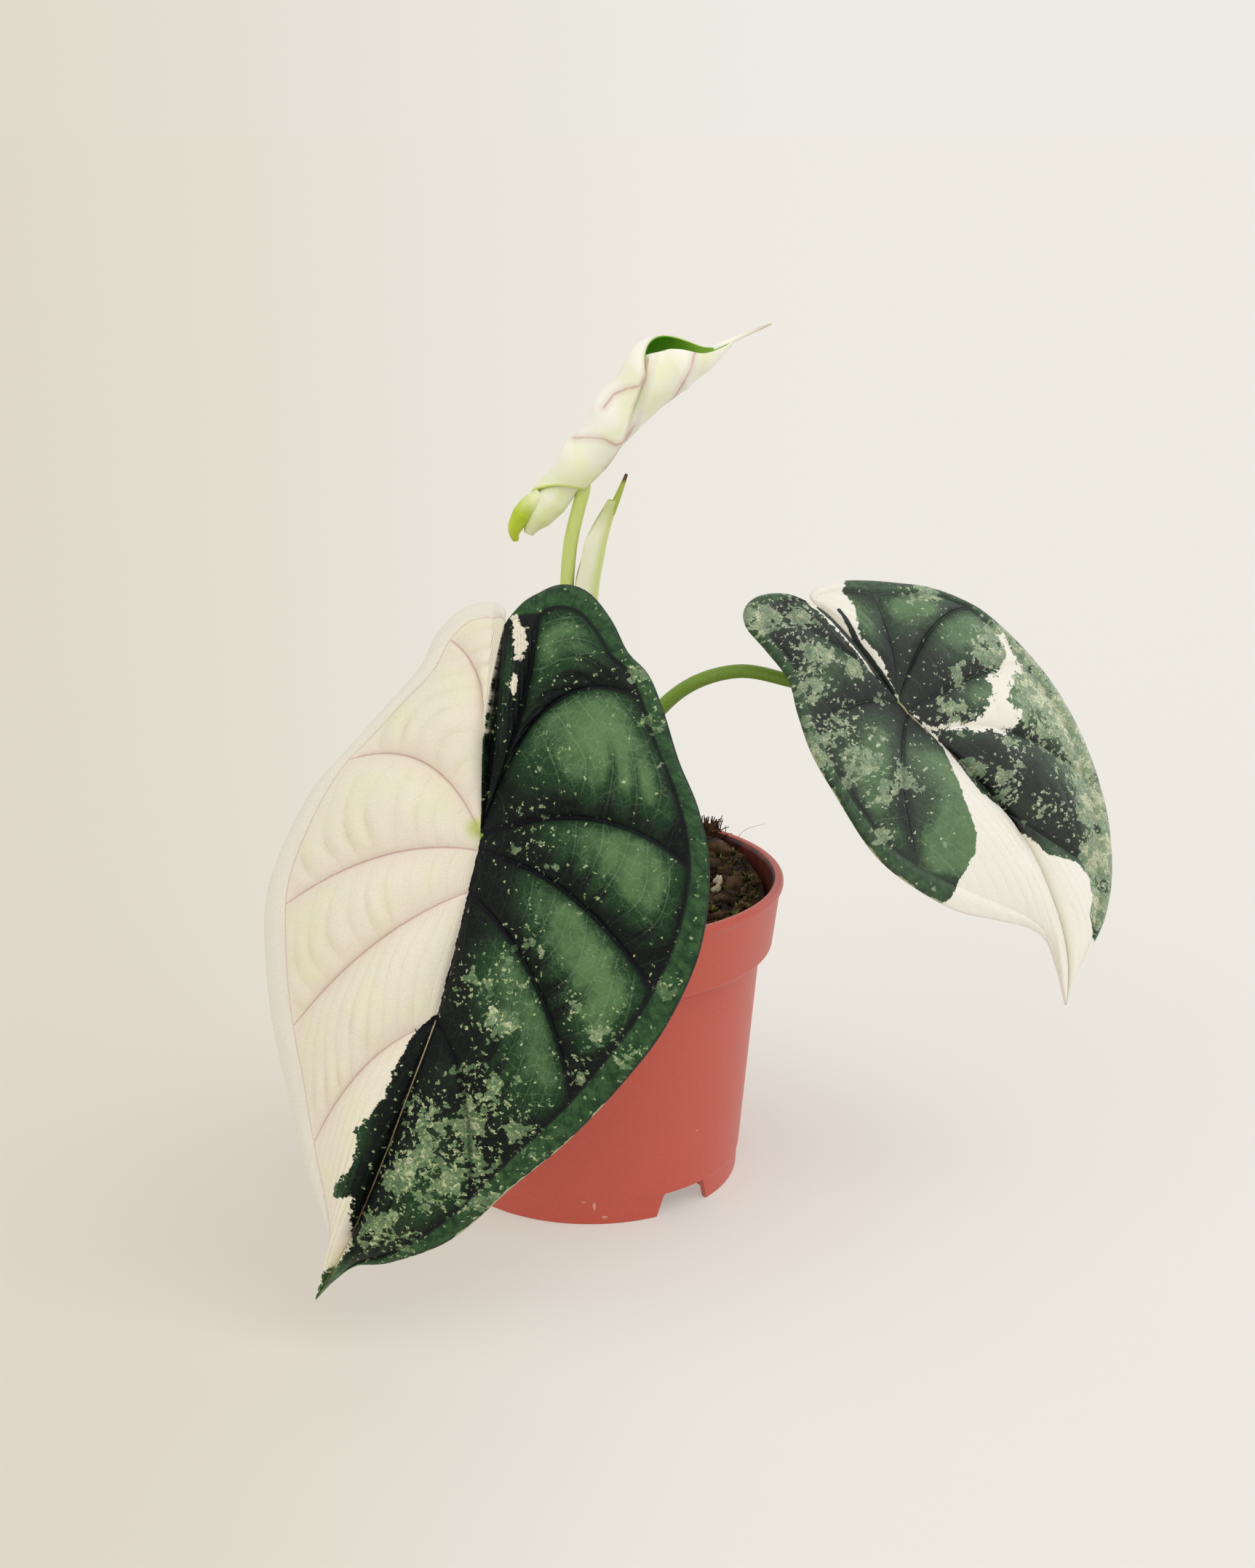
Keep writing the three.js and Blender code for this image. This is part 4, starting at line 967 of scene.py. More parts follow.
class LeafFinish(Recipe):
    """Finish of an open leaf, from the green of its pads to the back."""

    def __init__(self, name, settings, look):
        super().__init__(name)
        self.settings, self.look = settings, look
        self.spot = self.mark("leaf_place", vector=True)
        self.gloom, self.flecks, self.band = (self.mark(mark) for mark in ("gloom", "flecks", "band"))
        self.side_vein = self.mark("side_vein")
        self.to_vein = self.math("MINIMUM", self.side_vein, self.mark("midrib") * 0.8)
        self.bent = self.shifted(self.spot, self.noise(self.spot, 0.9, 3.0, 0.6, "Color"), 1.3)
        self.fine = self.noise(self.bent, 1.3, 4.0, 0.65)
        to_crease = self.math("PINGPONG", self.mark("run"), 0.5)
        # How far into a crease's valley a point lies; it darkens the green and the cream there as painted
        # shade
        self.creased = self.fade(to_crease, 0.0, 0.4) * self.mark("crease")
        self.crease_line = self.fade(to_crease, 0.008, 0.045)
        self.coarse_net, self.fine_net = (
            self.fade(self.cells(self.bent, scale, "DISTANCE_TO_EDGE"), low, high)
            for scale, low, high in ((0.38, 0.01, 0.045), (1.15, 0.02, 0.09)))
        self.in_band = self.ramp(self.band, 0.25, -0.9)
        to_pink = self.math(
            "MINIMUM", self.side_vein + (1.0 - self.ramp(self.band, -0.1, 0.15)) * 9.0,
            self.math("ABSOLUTE", self.band) + 0.08)
        self.pink_line = self.fade(to_pink + self.fine * 0.12, 0.08, 0.4) * look["pink"]

    def frosted(self, plain, frosted):
        """A tone of a plain leaf mixed with the same tone under this leaf's frost."""
        return self.mix(self.look["frost"], plain, frosted)

    def quilted_green(self):
        """Green of the pads, with the paler net of fine veins. The darker green beside the veins is partly
        painted shade, the light green on the crests is partly a painted highlight, and the crease valleys
        carry painted shade.
        """
        cloud = self.noise(self.spot, 0.14, 3.0, 0.55)
        # Painted shade: darker in the crease valleys and, in part, on the slopes to the veins; the crests'
        # light green is in part a painted highlight
        shade = self.gloom + (cloud - 0.5) * 0.7 + (self.fine - 0.5) * 0.2 + self.creased * 0.42
        green = self.mix(self.ramp(shade, -0.06, 0.41), self.settings.light, self.settings.middle)
        green = self.mix(self.ramp(shade, 0.4, 0.92), green, self.settings.dark)
        net = self.crease_line * 0.22 + self.coarse_net * 0.2 + self.fine_net * 0.1
        return self.mix(net * self.ramp(self.gloom, 0.1, 0.75, 1.0, 0.12), green, LEAF_TONE.fine_vein)

    def banded(self, green):
        """The raised band along the margin."""
        mottled = self.ramp(self.noise(self.spot, 0.45, 4.0, 0.65), 0.3, 0.7)
        band_green = self.mix(mottled, LEAF_TONE.band_dark, LEAF_TONE.band_light)
        rim_run = self.math("PINGPONG", self.mark("rim_run") / 2.4 + self.fine * 0.8, 0.5)
        band_green = self.mix(self.fade(rim_run, 0.02, 0.09, 0.4), band_green, LEAF_TONE.band_crease)
        green = self.mix(self.in_band, green, band_green)
        return self.mix(self.look["haze"], green, LEAF_TONE.haze)

    def patched(self, green):
        """Pale patches made of whole cells of the net, and finer specks. Returns where they are too."""
        cell = self.cells(self.bent, 0.95, output="Position")
        patchy = self.flecks * 0.22 + (self.noise(cell, 0.19, 6.0, 0.64) - 0.69)
        patch = self.ramp(patchy, -0.004, 0.004)
        small_cell = self.cells(self.bent, 2.8, output="Position")
        spotty = self.flecks * 0.13 + (self.noise(small_cell, 0.8, 3.0, 0.6) - 0.668)
        speck = self.ramp(spotty, -0.004, 0.004)
        tone = self.noise(cell, 0.33, 4.0, 0.6)
        low = self.frosted(LEAF_TONE.patch_dull, LEAF_TONE.patch_dull_frosted)
        high = self.frosted(self.settings.patch, LEAF_TONE.patch_frosted)
        pale = self.mix(self.ramp(tone, 0.38, 0.62), low, high)
        pale = self.mix(self.ramp(tone + patchy, 0.59, 0.64), pale, LEAF_TONE.patch_bright)
        pale = self.mix(self.ramp(tone + patchy, 0.67, 0.69), pale, LEAF_TONE.patch_brightest)
        pale = self.mix(self.fine_net * 0.62, pale, LEAF_TONE.patch_vein)
        pale = self.mix(self.gloom * 0.3, pale, LEAF_TONE.patch_shade)
        green = self.mix(patch * 0.94, green, pale)
        dull = self.frosted(LEAF_TONE.speck_dull, LEAF_TONE.speck_dull_frosted)
        keen = self.frosted(LEAF_TONE.speck_keen, LEAF_TONE.speck_keen_frosted)
        chance = self.out("ShaderNodeSeparateColor", {0: self.cells(self.bent, 2.4, output="Color")})
        bright = self.mix(self.ramp(chance, 0.35, 0.75), dull, keen)
        speck = self.math("SUBTRACT", speck, patch * self.look["frost"], clamp=True)
        return self.mix(speck * 0.8, green, bright), patch

    def veined(self, green, patch):
        """Dark veins, a groove beside the band, a dark line at the edge and the tan lower midrib."""
        vein_line = self.fade(self.to_vein, 0.2, 0.95, 0.95) * self.ramp(self.band, -0.5, 0.6)
        groove_line = self.fade(self.math("ABSOLUTE", self.band), 0.15, 0.75, 0.7)
        edge_line = self.fade(self.mark("edge"), 0.2, 0.5, 0.7)
        dark_lines = self.math("MAXIMUM", self.math("MAXIMUM", vein_line, groove_line), edge_line)
        over_patch = (0.95 - patch * 0.45) * self.look["vein"]
        green = self.mix(dark_lines * self.mark("broad") * over_patch, green, self.settings.vein)
        tan_line = self.fade(self.mark("rib_line") + self.fine * 0.3, 0.26, 0.42, 0.85)
        green = self.mix(tan_line, green, LEAF_TONE.tan_rib)
        torn_edge = self.mark("pale_edge") + self.noise(self.spot, 0.25, 3.0) * 1.6
        return self.mix(self.fade(torn_edge, 0.85, 0.95, 0.8), green, LEAF_TONE.pale_edge)

    def cream_skin(self):
        """Cream with faint pink veins, yellow tints and painted shade in the crease valleys."""
        tint = self.ramp(self.noise(self.spot, 0.09, 3.0, 0.55), 0.44, 0.7, 0.0, 0.75)
        cream = self.mix(tint, self.settings.cream, self.settings.cream_tint)
        to_sinus = self.vector("DISTANCE", self.spot, (-1.1, 1.2, 0.0), "Value")
        for share, tone in (
            (self.fade(self.side_vein, 0.3, 5.0, 0.3) * self.ramp(self.band, 0.0, 1.0), LEAF_TONE.blush),
            (self.creased * 0.35, LEAF_TONE.cream_crease),
            (self.coarse_net * 0.06, LEAF_TONE.cream_vein),
            (self.in_band, LEAF_TONE.cream_band),
            (self.look["white"], LEAF_TONE.white),
            (self.pink_line, self.settings.pink),
            (self.fade(to_sinus, 0.6, 3.2, 0.75), LEAF_TONE.sinus),
        ):
            cream = self.mix(share, cream, tone)
        return cream

    def back(self, in_cream):
        """The paler back, whose veins are brown on green and pink on cream."""
        green = self.mix(self.noise(self.spot, 0.3, 3.0), self.settings.underside, LEAF_TONE.back_cloud)
        green = self.mix(self.fine_net * 0.25, green, LEAF_TONE.back_net)
        green = self.mix(self.fade(self.to_vein, 0.3, 1.2, 0.55), green, LEAF_TONE.back_vein)
        cream = self.mix(self.pink_line, LEAF_TONE.back_cream, self.settings.pink)
        return self.mix(in_cream, green, cream)

    def painted(self):
        """The whole leaf's material. Cream and green meet in a clean or a ragged edge."""
        green = self.veined(*self.patched(self.banded(self.quilted_green())))
        torn = (self.noise(self.spot, 0.55, 5.0, 0.7) - 0.5) * 6.5
        in_cream = self.ramp(self.mark("cream") + torn * self.mark("ragged"), -0.06, 0.06)
        surface = self.mix(in_cream, green, self.cream_skin())
        on_stripe = self.ramp(self.mark("stripe") + torn * 0.08, 0.05, -0.1)
        surface = self.mix(on_stripe, surface, LEAF_TONE.dark_stripe)
        surface = self.mix(self.mark("underside"), surface, self.back(in_cream))
        height = self.crease_line * -0.6 + self.fine_net * -0.35 + self.noise(self.spot, 5.0, 2.0) * 0.5
        self.bump(height, 0.00006)
        self.translucent(0.03, (0.002, 0.002, 0.001))
        return self.finish(surface, self.look["rough"] + self.fine * 0.14, self.look["specular"])


# Rolled leaf


def centripetal(points, fraction):
    """A centripetal Catmull-Rom curve at even steps of its knots."""
    knots = np.array(points, float)
    knots = np.concatenate([[2 * knots[0] - knots[1]], knots, [2 * knots[-1] - knots[-2]]])
    place = np.clip(np.asarray(fraction, float), 0, 1) * (len(points) - 1)
    index = np.minimum(place.astype(int), len(points) - 2)
    weight = (place - index)[..., None]
    p0, p1, p2, p3 = (knots[index + step] for step in range(4))
    gaps = [np.sqrt(np.linalg.norm(end - start, axis=-1, keepdims=True)) for start, end in
            ((p0, p1), (p1, p2), (p2, p3))]
    leave = ((p1 - p0) / gaps[0] - (p2 - p0) / (gaps[0] + gaps[1]) + (p2 - p1) / gaps[1]) * gaps[1]
    arrive = ((p2 - p1) / gaps[1] - (p3 - p1) / (gaps[1] + gaps[2]) + (p3 - p2) / gaps[2]) * gaps[1]
    return ((2 * p1 - 2 * p2 + leave + arrive) * weight ** 3
            + (-3 * p1 + 3 * p2 - 2 * leave - arrive) * weight ** 2 + leave * weight + p1)


def scroll_sheet(length, turn, inset):
    """Points of the rolled leaf for fractions of its length and of its turns, with their marks."""
    start = SCROLL["lobe_cut"] * smoothstep(0.6, 1, turn)
    place = start + (1 - start) * length
    centre = centripetal(SCROLL["axis"], place)
    axis = centripetal(SCROLL["axis"], place + 0.001) - centripetal(SCROLL["axis"], place - 0.001)
    axis /= np.linalg.norm(axis, axis=-1, keepdims=True)
    front = np.broadcast_to([0.0, -1.0, 0.0], axis.shape)
    lower_right = np.cross(axis, front)
    inner, outer = listed(SCROLL["inner_angle"], place), listed(SCROLL["outer_angle"], place)
    degrees = inner + (outer - inner) * turn
    angle = np.radians(degrees)
    # The quilting swells the upper left side, and the other side is smooth
    uneven = 0.5 - 0.5 * np.sin(angle)
    swell = 1 + SCROLL["ripple"] * uneven * np.sin(place * SCROLL["ripples"] * 2 * np.pi + angle)
    radius = listed(SCROLL["radius"], place) * swell - SCROLL["layer_pitch"] * (outer - degrees) / 360 - inset
    points = centre + front * (np.cos(angle) * radius)[..., None]
    points = points + lower_right * (np.sin(angle) * radius)[..., None]
    return points, place, degrees, radius


def make_scroll():
    """The youngest leaf, still rolled round its midrib."""
    rows, columns = SCROLL["rows"], SCROLL["columns"]
    turns = np.concatenate([np.linspace(0, 1, columns), [1], np.linspace(1, 0, columns), [0, 0]])
    layer = np.concatenate([np.zeros(columns), [0.5], np.ones(columns), [0.5, 0]])
    length, turn = stations(np.linspace(0, 1, rows), turns)
    layer = np.broadcast_to(layer, turn.shape)
    points, place, degrees, radius = scroll_sheet(length, turn, layer * SCROLL["thickness"])
    outer = listed(SCROLL["outer_angle"], place)
    in_view = (layer == 0) & (np.cos(np.radians(degrees)) > -0.35)
    seen = points[..., [0, 2]]
    vein = np.minimum.reduce([distance_to_line(seen, line) for line in SCROLL["veins"]])
    marks = {
        "vein": np.where(in_view, vein, 9),
        "ridge": np.where(in_view, distance_to_line(seen, SCROLL["ridge"]), 9),
        "along": place, "turned": degrees, "inside": layer, "to_lobe": length * 64,
        "to_margin": np.radians(outer - degrees) * np.maximum(radius, 0.5),
    }
    return sheet_object("rolled_leaf", points, marks, end_caps(rows, len(turns), columns, 2 * columns))


def young_leaf_material(settings):
    """Cream rolled leaf with pink veins, a green inside and yellow-green lobes."""
    r = Recipe("rolled_leaf")
    place, to_lobe, vein = r.place(), r.mark("to_lobe"), r.mark("vein")
    tint = r.ramp(r.noise(place, 130.0, 3.0, 0.5), 0.42, 0.68, 0.1, 0.8)
    outside = r.mix(tint, settings.outside, settings.tint)
    lobe = r.fade(to_lobe, 0.0, 22.0) * 0.3 + r.fade(to_lobe, 0.5, 1.6, 0.5)
    outside = r.mix(lobe, outside, settings.edge)
    spiral = r.math("PINGPONG", r.mark("along") * 3.0 + r.mark("turned") / 360.0, 0.5)
    hidden_vein = r.fade(spiral, 0.01, 0.03, 0.35) * r.ramp(vein, 8.0, 9.0)
    wander = (r.noise(place, 300.0, 2.0) - 0.5) * 0.5
    lines = r.math("MAXIMUM", r.fade(vein + wander, 0.1, 0.5, 0.75), r.fade(vein, 0.3, 1.6, 0.25))
    outside = r.mix(r.math("MAXIMUM", lines, hidden_vein), outside, YOUNG_TONE.pink_line)
    outside = r.mix(r.fade(r.mark("ridge"), 0.2, 1.1, 0.6), outside, YOUNG_TONE.ridge)
    outside = r.mix(r.fade(r.mark("to_margin"), 0.3, 0.9, 0.5), outside, YOUNG_TONE.margin)
    glow = r.ramp(r.noise(place, 90.0, 3.0, 0.6), 0.4, 0.75)
    inside = r.mix(glow, settings.inside, YOUNG_TONE.inside_glow)
    inside = r.mix(r.fade(to_lobe, 6.0, 16.0, 0.9), inside, settings.edge)
    surface = r.mix(r.ramp(r.mark("inside"), 0.4, 0.6), outside, inside)
    r.bump(r.noise(place, 900.0, 3.0), 0.00005)
    r.translucent(0.1, (0.003, 0.003, 0.0015))
    return r.finish(surface, 0.42, 0.35)


def lobe_material(settings):
    """The curled yellow-green back lobe of the rolled leaf."""
    r = Recipe("curled_lobe")
    surface = r.mix(r.ramp(r.mark("along"), 0.0, 0.5), settings.tint, settings.edge)
    surface = r.mix(r.ramp(r.noise(r.place(), 300.0, 3.0), 0.4, 0.7, 0.0, 0.5), surface, YOUNG_TONE.lobe)
    return r.finish(surface, 0.42, 0.35)


def inner_roll_material(settings):
    """The pale inner turns that show at the lower end of the rolled leaf."""
    r = Recipe("inner_roll")
    surface = r.mix(r.ramp(r.noise(r.place(), 260.0, 3.0), 0.4, 0.65), settings.outside, settings.tint)
    surface = r.mix(r.ramp(r.mark("along"), 0.1, 1.0, 0.15, 0.4), surface, settings.edge)
    return r.finish(surface, 0.42, 0.35)


def tip_material(settings):
    """The fine drip tip of the rolled leaf."""
    r = Recipe("drip_tip")
    surface = r.mix(r.ramp(r.mark("along"), 0.3, 1.0), settings.outside, YOUNG_TONE.tip)
    surface = r.mix(r.noise(r.place(), 900.0) * 0.3, surface, settings.tint)
    return r.finish(surface, 0.5, 0.4)


# Stalks, sheath and crown


def tube_tree(name, material, sides):
    """Tree that turns a line with a thickness at each point into a round closed tube."""
    tree = Tree(name)
    ring_sides = tree.input("Sides", "Int", sides)
    curve = tree.out("GeometryNodeMeshToCurve", {"Mesh": tree.base()})
    thickness = tree.out("GeometryNodeInputNamedAttribute", {"Name": "thickness"}, data_type="FLOAT")
    along = tree.out("GeometryNodeSplineParameter", output="Factor")
    curve = tree.out("GeometryNodeStoreNamedAttribute", {"Geometry": curve, "Name": "along", "Value": along},
                     data_type="FLOAT", domain="POINT")
    circle = tree.out("GeometryNodeCurvePrimitiveCircle", {"Resolution": ring_sides, "Radius": 1.0})
    tree.finish(tree.out("GeometryNodeCurveToMesh", {
        "Curve": curve, "Profile Curve": circle, "Fill Caps": True, "Scale": thickness}), material)
    return tree


def make_tube(name, points, radii, material, sides=32, steps=120):
    """A round tube along a smooth line, in millimetres."""
    fractions = np.linspace(0, 1, steps)
    smooth = spline(centripetal(points, np.linspace(0, 1, 60)))(fractions)
    base = line_object(f"{name}_line", in_frame(smooth), {"thickness": listed(radii, fractions) * MM})
    made = tube_tree(f"{name}_tube", material, sides).apply(name, base)
    for vertex in made.data.vertices:
        vertex.co.z = min(vertex.co.z, CAD_BOX[1].z)
    return made


def stalk_line(stalk):
    """Points of a stalk, up to where it runs into the back of its leaf."""
    leaf = {"front": FRONT_LEAF, "right": RIGHT_LEAF}.get(stalk.get("leaf"))
    if leaf is None:
        return stalk["points"]
    facing = leaf_axes(leaf)[2]
    seat = BLADE["thickness"] + leaf["arch"] * leaf["arch_centre"] ** 2
    ends = [tuple(np.array(leaf["joint"], float) - facing * (seat + reach)) for reach in (3.2, -0.35)]
    return [*stalk["points"], *ends]


def stalk_material(name, colour, dark):
    """Smooth fleshy stalk with fine streaks along it and a darker foot."""
    r = Recipe(name)
    streaks = r.noise(r.scaled(r.place(), (1.0, 1.0, 0.2)), 900.0, 3.0, 0.6)
    surface = r.mix(streaks * 0.55, colour, dark)
    surface = r.mix(r.fade(r.mark("along"), 0.0, 0.22, 0.55), surface, YOUNG_TONE.stalk_foot)
    surface = r.mix(r.fade(r.cells(r.place(), 1500.0), 0.1, 0.22, 0.3), surface, YOUNG_TONE.stalk_dot)
    r.bump(streaks, 0.00008)
    return r.finish(surface, 0.42, 0.45)


def make_sheath():
    """The papery sheath that clasps the young stalk."""
    rows, columns = SHEATH["rows"], SHEATH["columns"]
    sweep = np.concatenate([np.linspace(-1, 1, columns), np.linspace(1, -1, columns), [-1]])
    layer = np.concatenate([np.zeros(columns), np.ones(columns), [0]])
    height, side = stations(np.linspace(0, 1, rows), sweep)
    inset = layer * SHEATH["thickness"] * (1 - 0.5 * np.abs(side) ** 6)
    flutter = 0.18 * np.abs(side) ** 3 * np.sin(height * 34 + 2 * side)
    angle = side * np.radians(listed(SHEATH["half_wrap"], height)) + 0.02 * np.sin(height * 21)
    spread = {axis: listed(SHEATH[f"radius_{axis}"], height) - inset + flutter for axis in "xy"}
    points = np.stack([
        listed(SHEATH["centre_x"], height) + spread["x"] * np.cos(angle),
        listed(SHEATH["centre_y"], height) + spread["y"] * np.sin(angle),
        listed(SHEATH["z"], height),
    ], -1)
    caps = end_caps(rows, len(sweep), columns, 2 * columns - 1)
    return sheet_object("papery_sheath", points, {"along": height, "around": angle}, caps)


def sheath_material(settings):
    """Thin pale sheath with a green keel and fine fibres."""
    r = Recipe("sheath")
    keel = r.fade(r.math("ABSOLUTE", r.mark("around") + 0.3), 0.35, 1.15)
    surface = r.mix(keel, settings.sheath, settings.sheath_keel)
    fibres = r.noise(r.scaled(r.place(), (1.0, 1.0, 0.04)), 2600.0, 3.0, 0.6)
    surface = r.mix(fibres * 0.2, surface, YOUNG_TONE.sheath_fibre)
    surface = r.mix(r.ramp(r.mark("along"), 0.86, 1.0, 0.0, 0.7), surface, YOUNG_TONE.sheath_end)
    r.bump(fibres, 0.00008)
    return r.finish(surface, 0.5, 0.35)


def withered_material(settings):
    """The dried brown point of the sheath."""
    r = Recipe("withered_point")
    surface = r.mix(r.ramp(r.mark("along"), 0.74, 0.9), YOUNG_TONE.point_foot, settings.withered)
    return r.finish(surface, 0.65, 0.3)


def make_crown():
    """The ringed stem base that carries the stalks."""
    dome = CROWN["heights"][-1]
    height, turn = stations(np.linspace(0, 1, 60), full_turn(96))
    risen = np.clip(height / dome, 0, 1)
    radius = np.interp(height, CROWN["heights"], CROWN["radius"])
    radius = np.where(height > dome, radius * np.clip((1 - height) / 0.1, 0, 1), radius)
    rings = 0.28 * np.abs(np.sin(height * 26 + 0.8 * np.sin(turn))) - 0.25
    swelling = 0.35 * np.sin(3 * turn + 5 * height) * np.sin(np.pi * risen)
    radius = radius + np.where(height < 0.88, rings + swelling - 0.1, 0)
    z = CROWN["bottom"] + (CROWN["top"] - CROWN["bottom"]) * risen
    points = np.stack([radius * np.sin(turn), -radius * np.cos(turn), z], -1)
    points[0, :, :2] = 0
    return sheet_object("stem_foot", points)


def crown_material():
    """Tan and green stem base with brown scars."""
    r = Recipe("stem_base")
    rough = r.noise(r.place(), 420.0, 5.0, 0.65)
    surface = r.mix(r.ramp(rough, 0.35, 0.65), YOUNG_TONE.crown_light, YOUNG_TONE.crown_dark)
    scars = r.noise(r.scaled(r.place(), (0.2, 0.2, 1.0)), 1300.0, 2.0)
    surface = r.mix(r.ramp(scars, 0.55, 0.7, 0.0, 0.7), surface, YOUNG_TONE.crown_scar)
    r.bump(rough, 0.0004)
    return r.finish(surface, 0.8, 0.25)


# Pot


def rounded(corners, radius=0.35, steps=4):
    """An outline whose corners are turned into short arcs."""
    corners = [np.array(corner, float) for corner in corners]
    outline = [corners[0]]
    for before, corner, after in zip(corners[:-2], corners[1:-1], corners[2:]):
        back, on = before - corner, after - corner
        reach = min(radius, 0.45 * np.linalg.norm(back), 0.45 * np.linalg.norm(on))
        start = corner + back / np.linalg.norm(back) * reach
        end = corner + on / np.linalg.norm(on) * reach
        for t in np.linspace(0, 1, steps):
            outline.append(start * (1 - t) ** 2 + corner * 2 * t * (1 - t) + end * t ** 2)
    outline.append(corners[-1])
    return np.array(outline)


def pot_profile():
    """The pot's wall from the middle of its underside, over the rim and back to the middle inside."""
    p = POT
    flare = p["foot"] + 0.35
    bead = p["height"] - p["rim_bead"]
    inner_rim = p["collar_top"] - p["wall"]
    inner_foot = p["foot"] - p["wall"]
    return rounded([
        (0, p["base_z"]), (inner_foot, p["base_z"]), (inner_foot - 0.2, 0), (p["foot"], 0),
        (flare, p["crease_z"]), (flare + p["crease"], p["crease_z"] + 2 * p["crease"]),
        (p["shoulder"], p["collar_z"] - p["ledge"]), (p["collar_foot"] - 0.8, p["collar_z"]),
        (p["collar_foot"], p["collar_z"] + 0.8), (p["collar_top"], bead - 0.8), (p["rim"], bead),
        (p["rim"], p["height"] - p["rim_round"]), (p["rim"] - p["rim_round"], p["height"]),
        (inner_rim + 0.2, p["height"]), (inner_rim - 0.5, p["height"] - 1),
        (p["collar_foot"] - 0.2 - p["wall"], p["collar_z"] + 0.6),
        (p["shoulder"] - p["wall"], p["collar_z"] - p["ledge"] - 0.2),
        (p["foot"] + 0.25 - p["wall"], p["base_z"] + p["base_plate"]), (0, p["base_z"] + p["base_plate"]),
    ])


def pot_tree(profile_points, segments, material):
    """Tree that revolves the wall's outline and cuts the drainage notches into the foot."""
    tree = Tree("pot_body")
    around = tree.input("Segments", "Int", segments)
    notches = tree.input("Notches", "Int", NOTCH["count"])
    first = tree.input("First notch", "Float", math.radians(NOTCH["first"]))
    width = tree.input("Notch width", "Float", NOTCH["foot_width"] * MM)
    narrow = tree.input("Notch top over foot", "Float", NOTCH["top_width"] / NOTCH["foot_width"])
    tall = tree.input("Notch height", "Float", NOTCH["height"] * MM)
    axis = tree.input("Pot axis", "Vector", tuple(POT_AXIS))

    grid = tree.out("GeometryNodeMeshGrid", {"Vertices X": around + 1.0, "Vertices Y": profile_points})
    index = tree.out("GeometryNodeInputIndex")
    column = tree.math("FLOOR", index / float(profile_points))
    row = tree.math("MODULO", index, float(profile_points))
    position = tree.out("GeometryNodeInputPosition")
    radius, _, height = tree.split(tree.out(
        "GeometryNodeSampleIndex", {"Geometry": tree.base(), "Value": position, "Index": row},
        data_type="FLOAT_VECTOR", domain="POINT"))
    turn = column * (2 * math.pi) / around
    place = tree.join(radius * tree.math("SINE", turn), radius * (tree.math("COSINE", turn) * -1.0), height)
    wall = tree.out("GeometryNodeSetPosition", {"Geometry": grid, "Position": place})
    wall = tree.out("GeometryNodeMergeByDistance", {"Geometry": wall, "Distance": 1e-6})

    # One tapered cutter, turned round the axis for each notch
    reach = (POT["rim"] - NOTCH["inner"]) * MM
    block = tree.out("GeometryNodeMeshCube", {"Size": tree.join(width, reach, tall * 2.0)})
    x, y, z = tree.split(position)
    pinch = tree.math("GREATER_THAN", z, 0.0) * (narrow - 1.0) + 1.0
    tapered = tree.join(x * pinch, y - (NOTCH["inner"] * MM + reach / 2), z)
    block = tree.out("GeometryNodeSetPosition", {"Geometry": block, "Position": tapered})
    points = tree.out("GeometryNodePoints", {"Count": notches})
    turned = tree.join(z=index * (2 * math.pi / notches) + first)
    cutters = tree.out("GeometryNodeInstanceOnPoints",
                       {"Points": points, "Instance": block, "Rotation": turned})
    cutters = tree.out("GeometryNodeRealizeInstances", {"Geometry": cutters})
    cut = tree.out("GeometryNodeMeshBoolean", {"Mesh 1": wall, "Mesh 2": cutters}, operation="DIFFERENCE")
    tree.finish(tree.out("GeometryNodeTransform", {"Geometry": cut, "Translation": axis}), material)
    return tree


def pot_material(settings):
    """Thin satin plastic with a fine grain, a darker red and brown inner wall above the soil and a few pale
    scuffs.
    """
    r = Recipe("pot_plastic")
    place = r.place()
    cloud = r.noise(place, 18.0, 3.0, 0.5)
    surface = r.mix(r.ramp(cloud, 0.3, 0.7, 0.0, 0.35), settings.plastic, POT_TONE.plastic_cloud)
    grain = r.noise(place, 1400.0, 2.0, 0.6)
    surface = r.mix(r.math("MULTIPLY", grain - 0.4, 0.25, clamp=True), surface, POT_TONE.plastic_grain)
    scratch = r.noise(r.scaled(place, (1.0, 1.0, 0.35)), 420.0, 4.0, 0.7)
    rubbed = r.ramp(r.noise(place, 46.0, 2.0, 0.5), 0.56, 0.66)
    surface = r.mix(r.ramp(scratch, 0.66, 0.7) * rubbed * 0.7, surface, settings.scuff)

    def reach(centre, spread):
        """Distance from a centre, as a share of the spread along each axis."""
        gap = r.vector("SUBTRACT", place, tuple(np.array(centre) * MM + POT_AXIS))
        return r.vector("LENGTH", r.scaled(gap, tuple(1 / (step * MM) for step in spread)), output="Value")

    height = r.split(place)[2]
    # The inner wall above the soil is made darker, in dimmed red and brown
    from_wall = reach((0, 0, 0), (1000, 1000, 1e9)) - (height - POT["collar_z"] * MM) * 0.116
    inner_darkening = r.ramp(from_wall, 0.0412, 0.04107) * r.ramp(height, 0.056, 0.058)
    inner_darkening = inner_darkening * r.ramp(r.noise(place, 160.0, 4.0, 0.6), 0.3, 0.6, 0.75, 1.0)
    inner_dark_tone = r.mix(r.noise(place, 240.0, 3.0), POT_TONE.grime_red, POT_TONE.grime_brown)
    surface = r.mix(inner_darkening, surface, inner_dark_tone)
    for centre, spread in POT_SCUFFS:
        scuffed = r.fade(reach(centre, spread) + scratch * 1.6, 1.2, 1.7, 0.75)
        surface = r.mix(scuffed, surface, settings.scuff)
    r.bump(grain, 0.00003)
    r.shader.inputs["Coat Weight"].default_value = 0.08
    r.shader.inputs["Coat Roughness"].default_value = 0.35
    return r.finish(surface, 0.36 + cloud * 0.12, 0.5)


# Soil


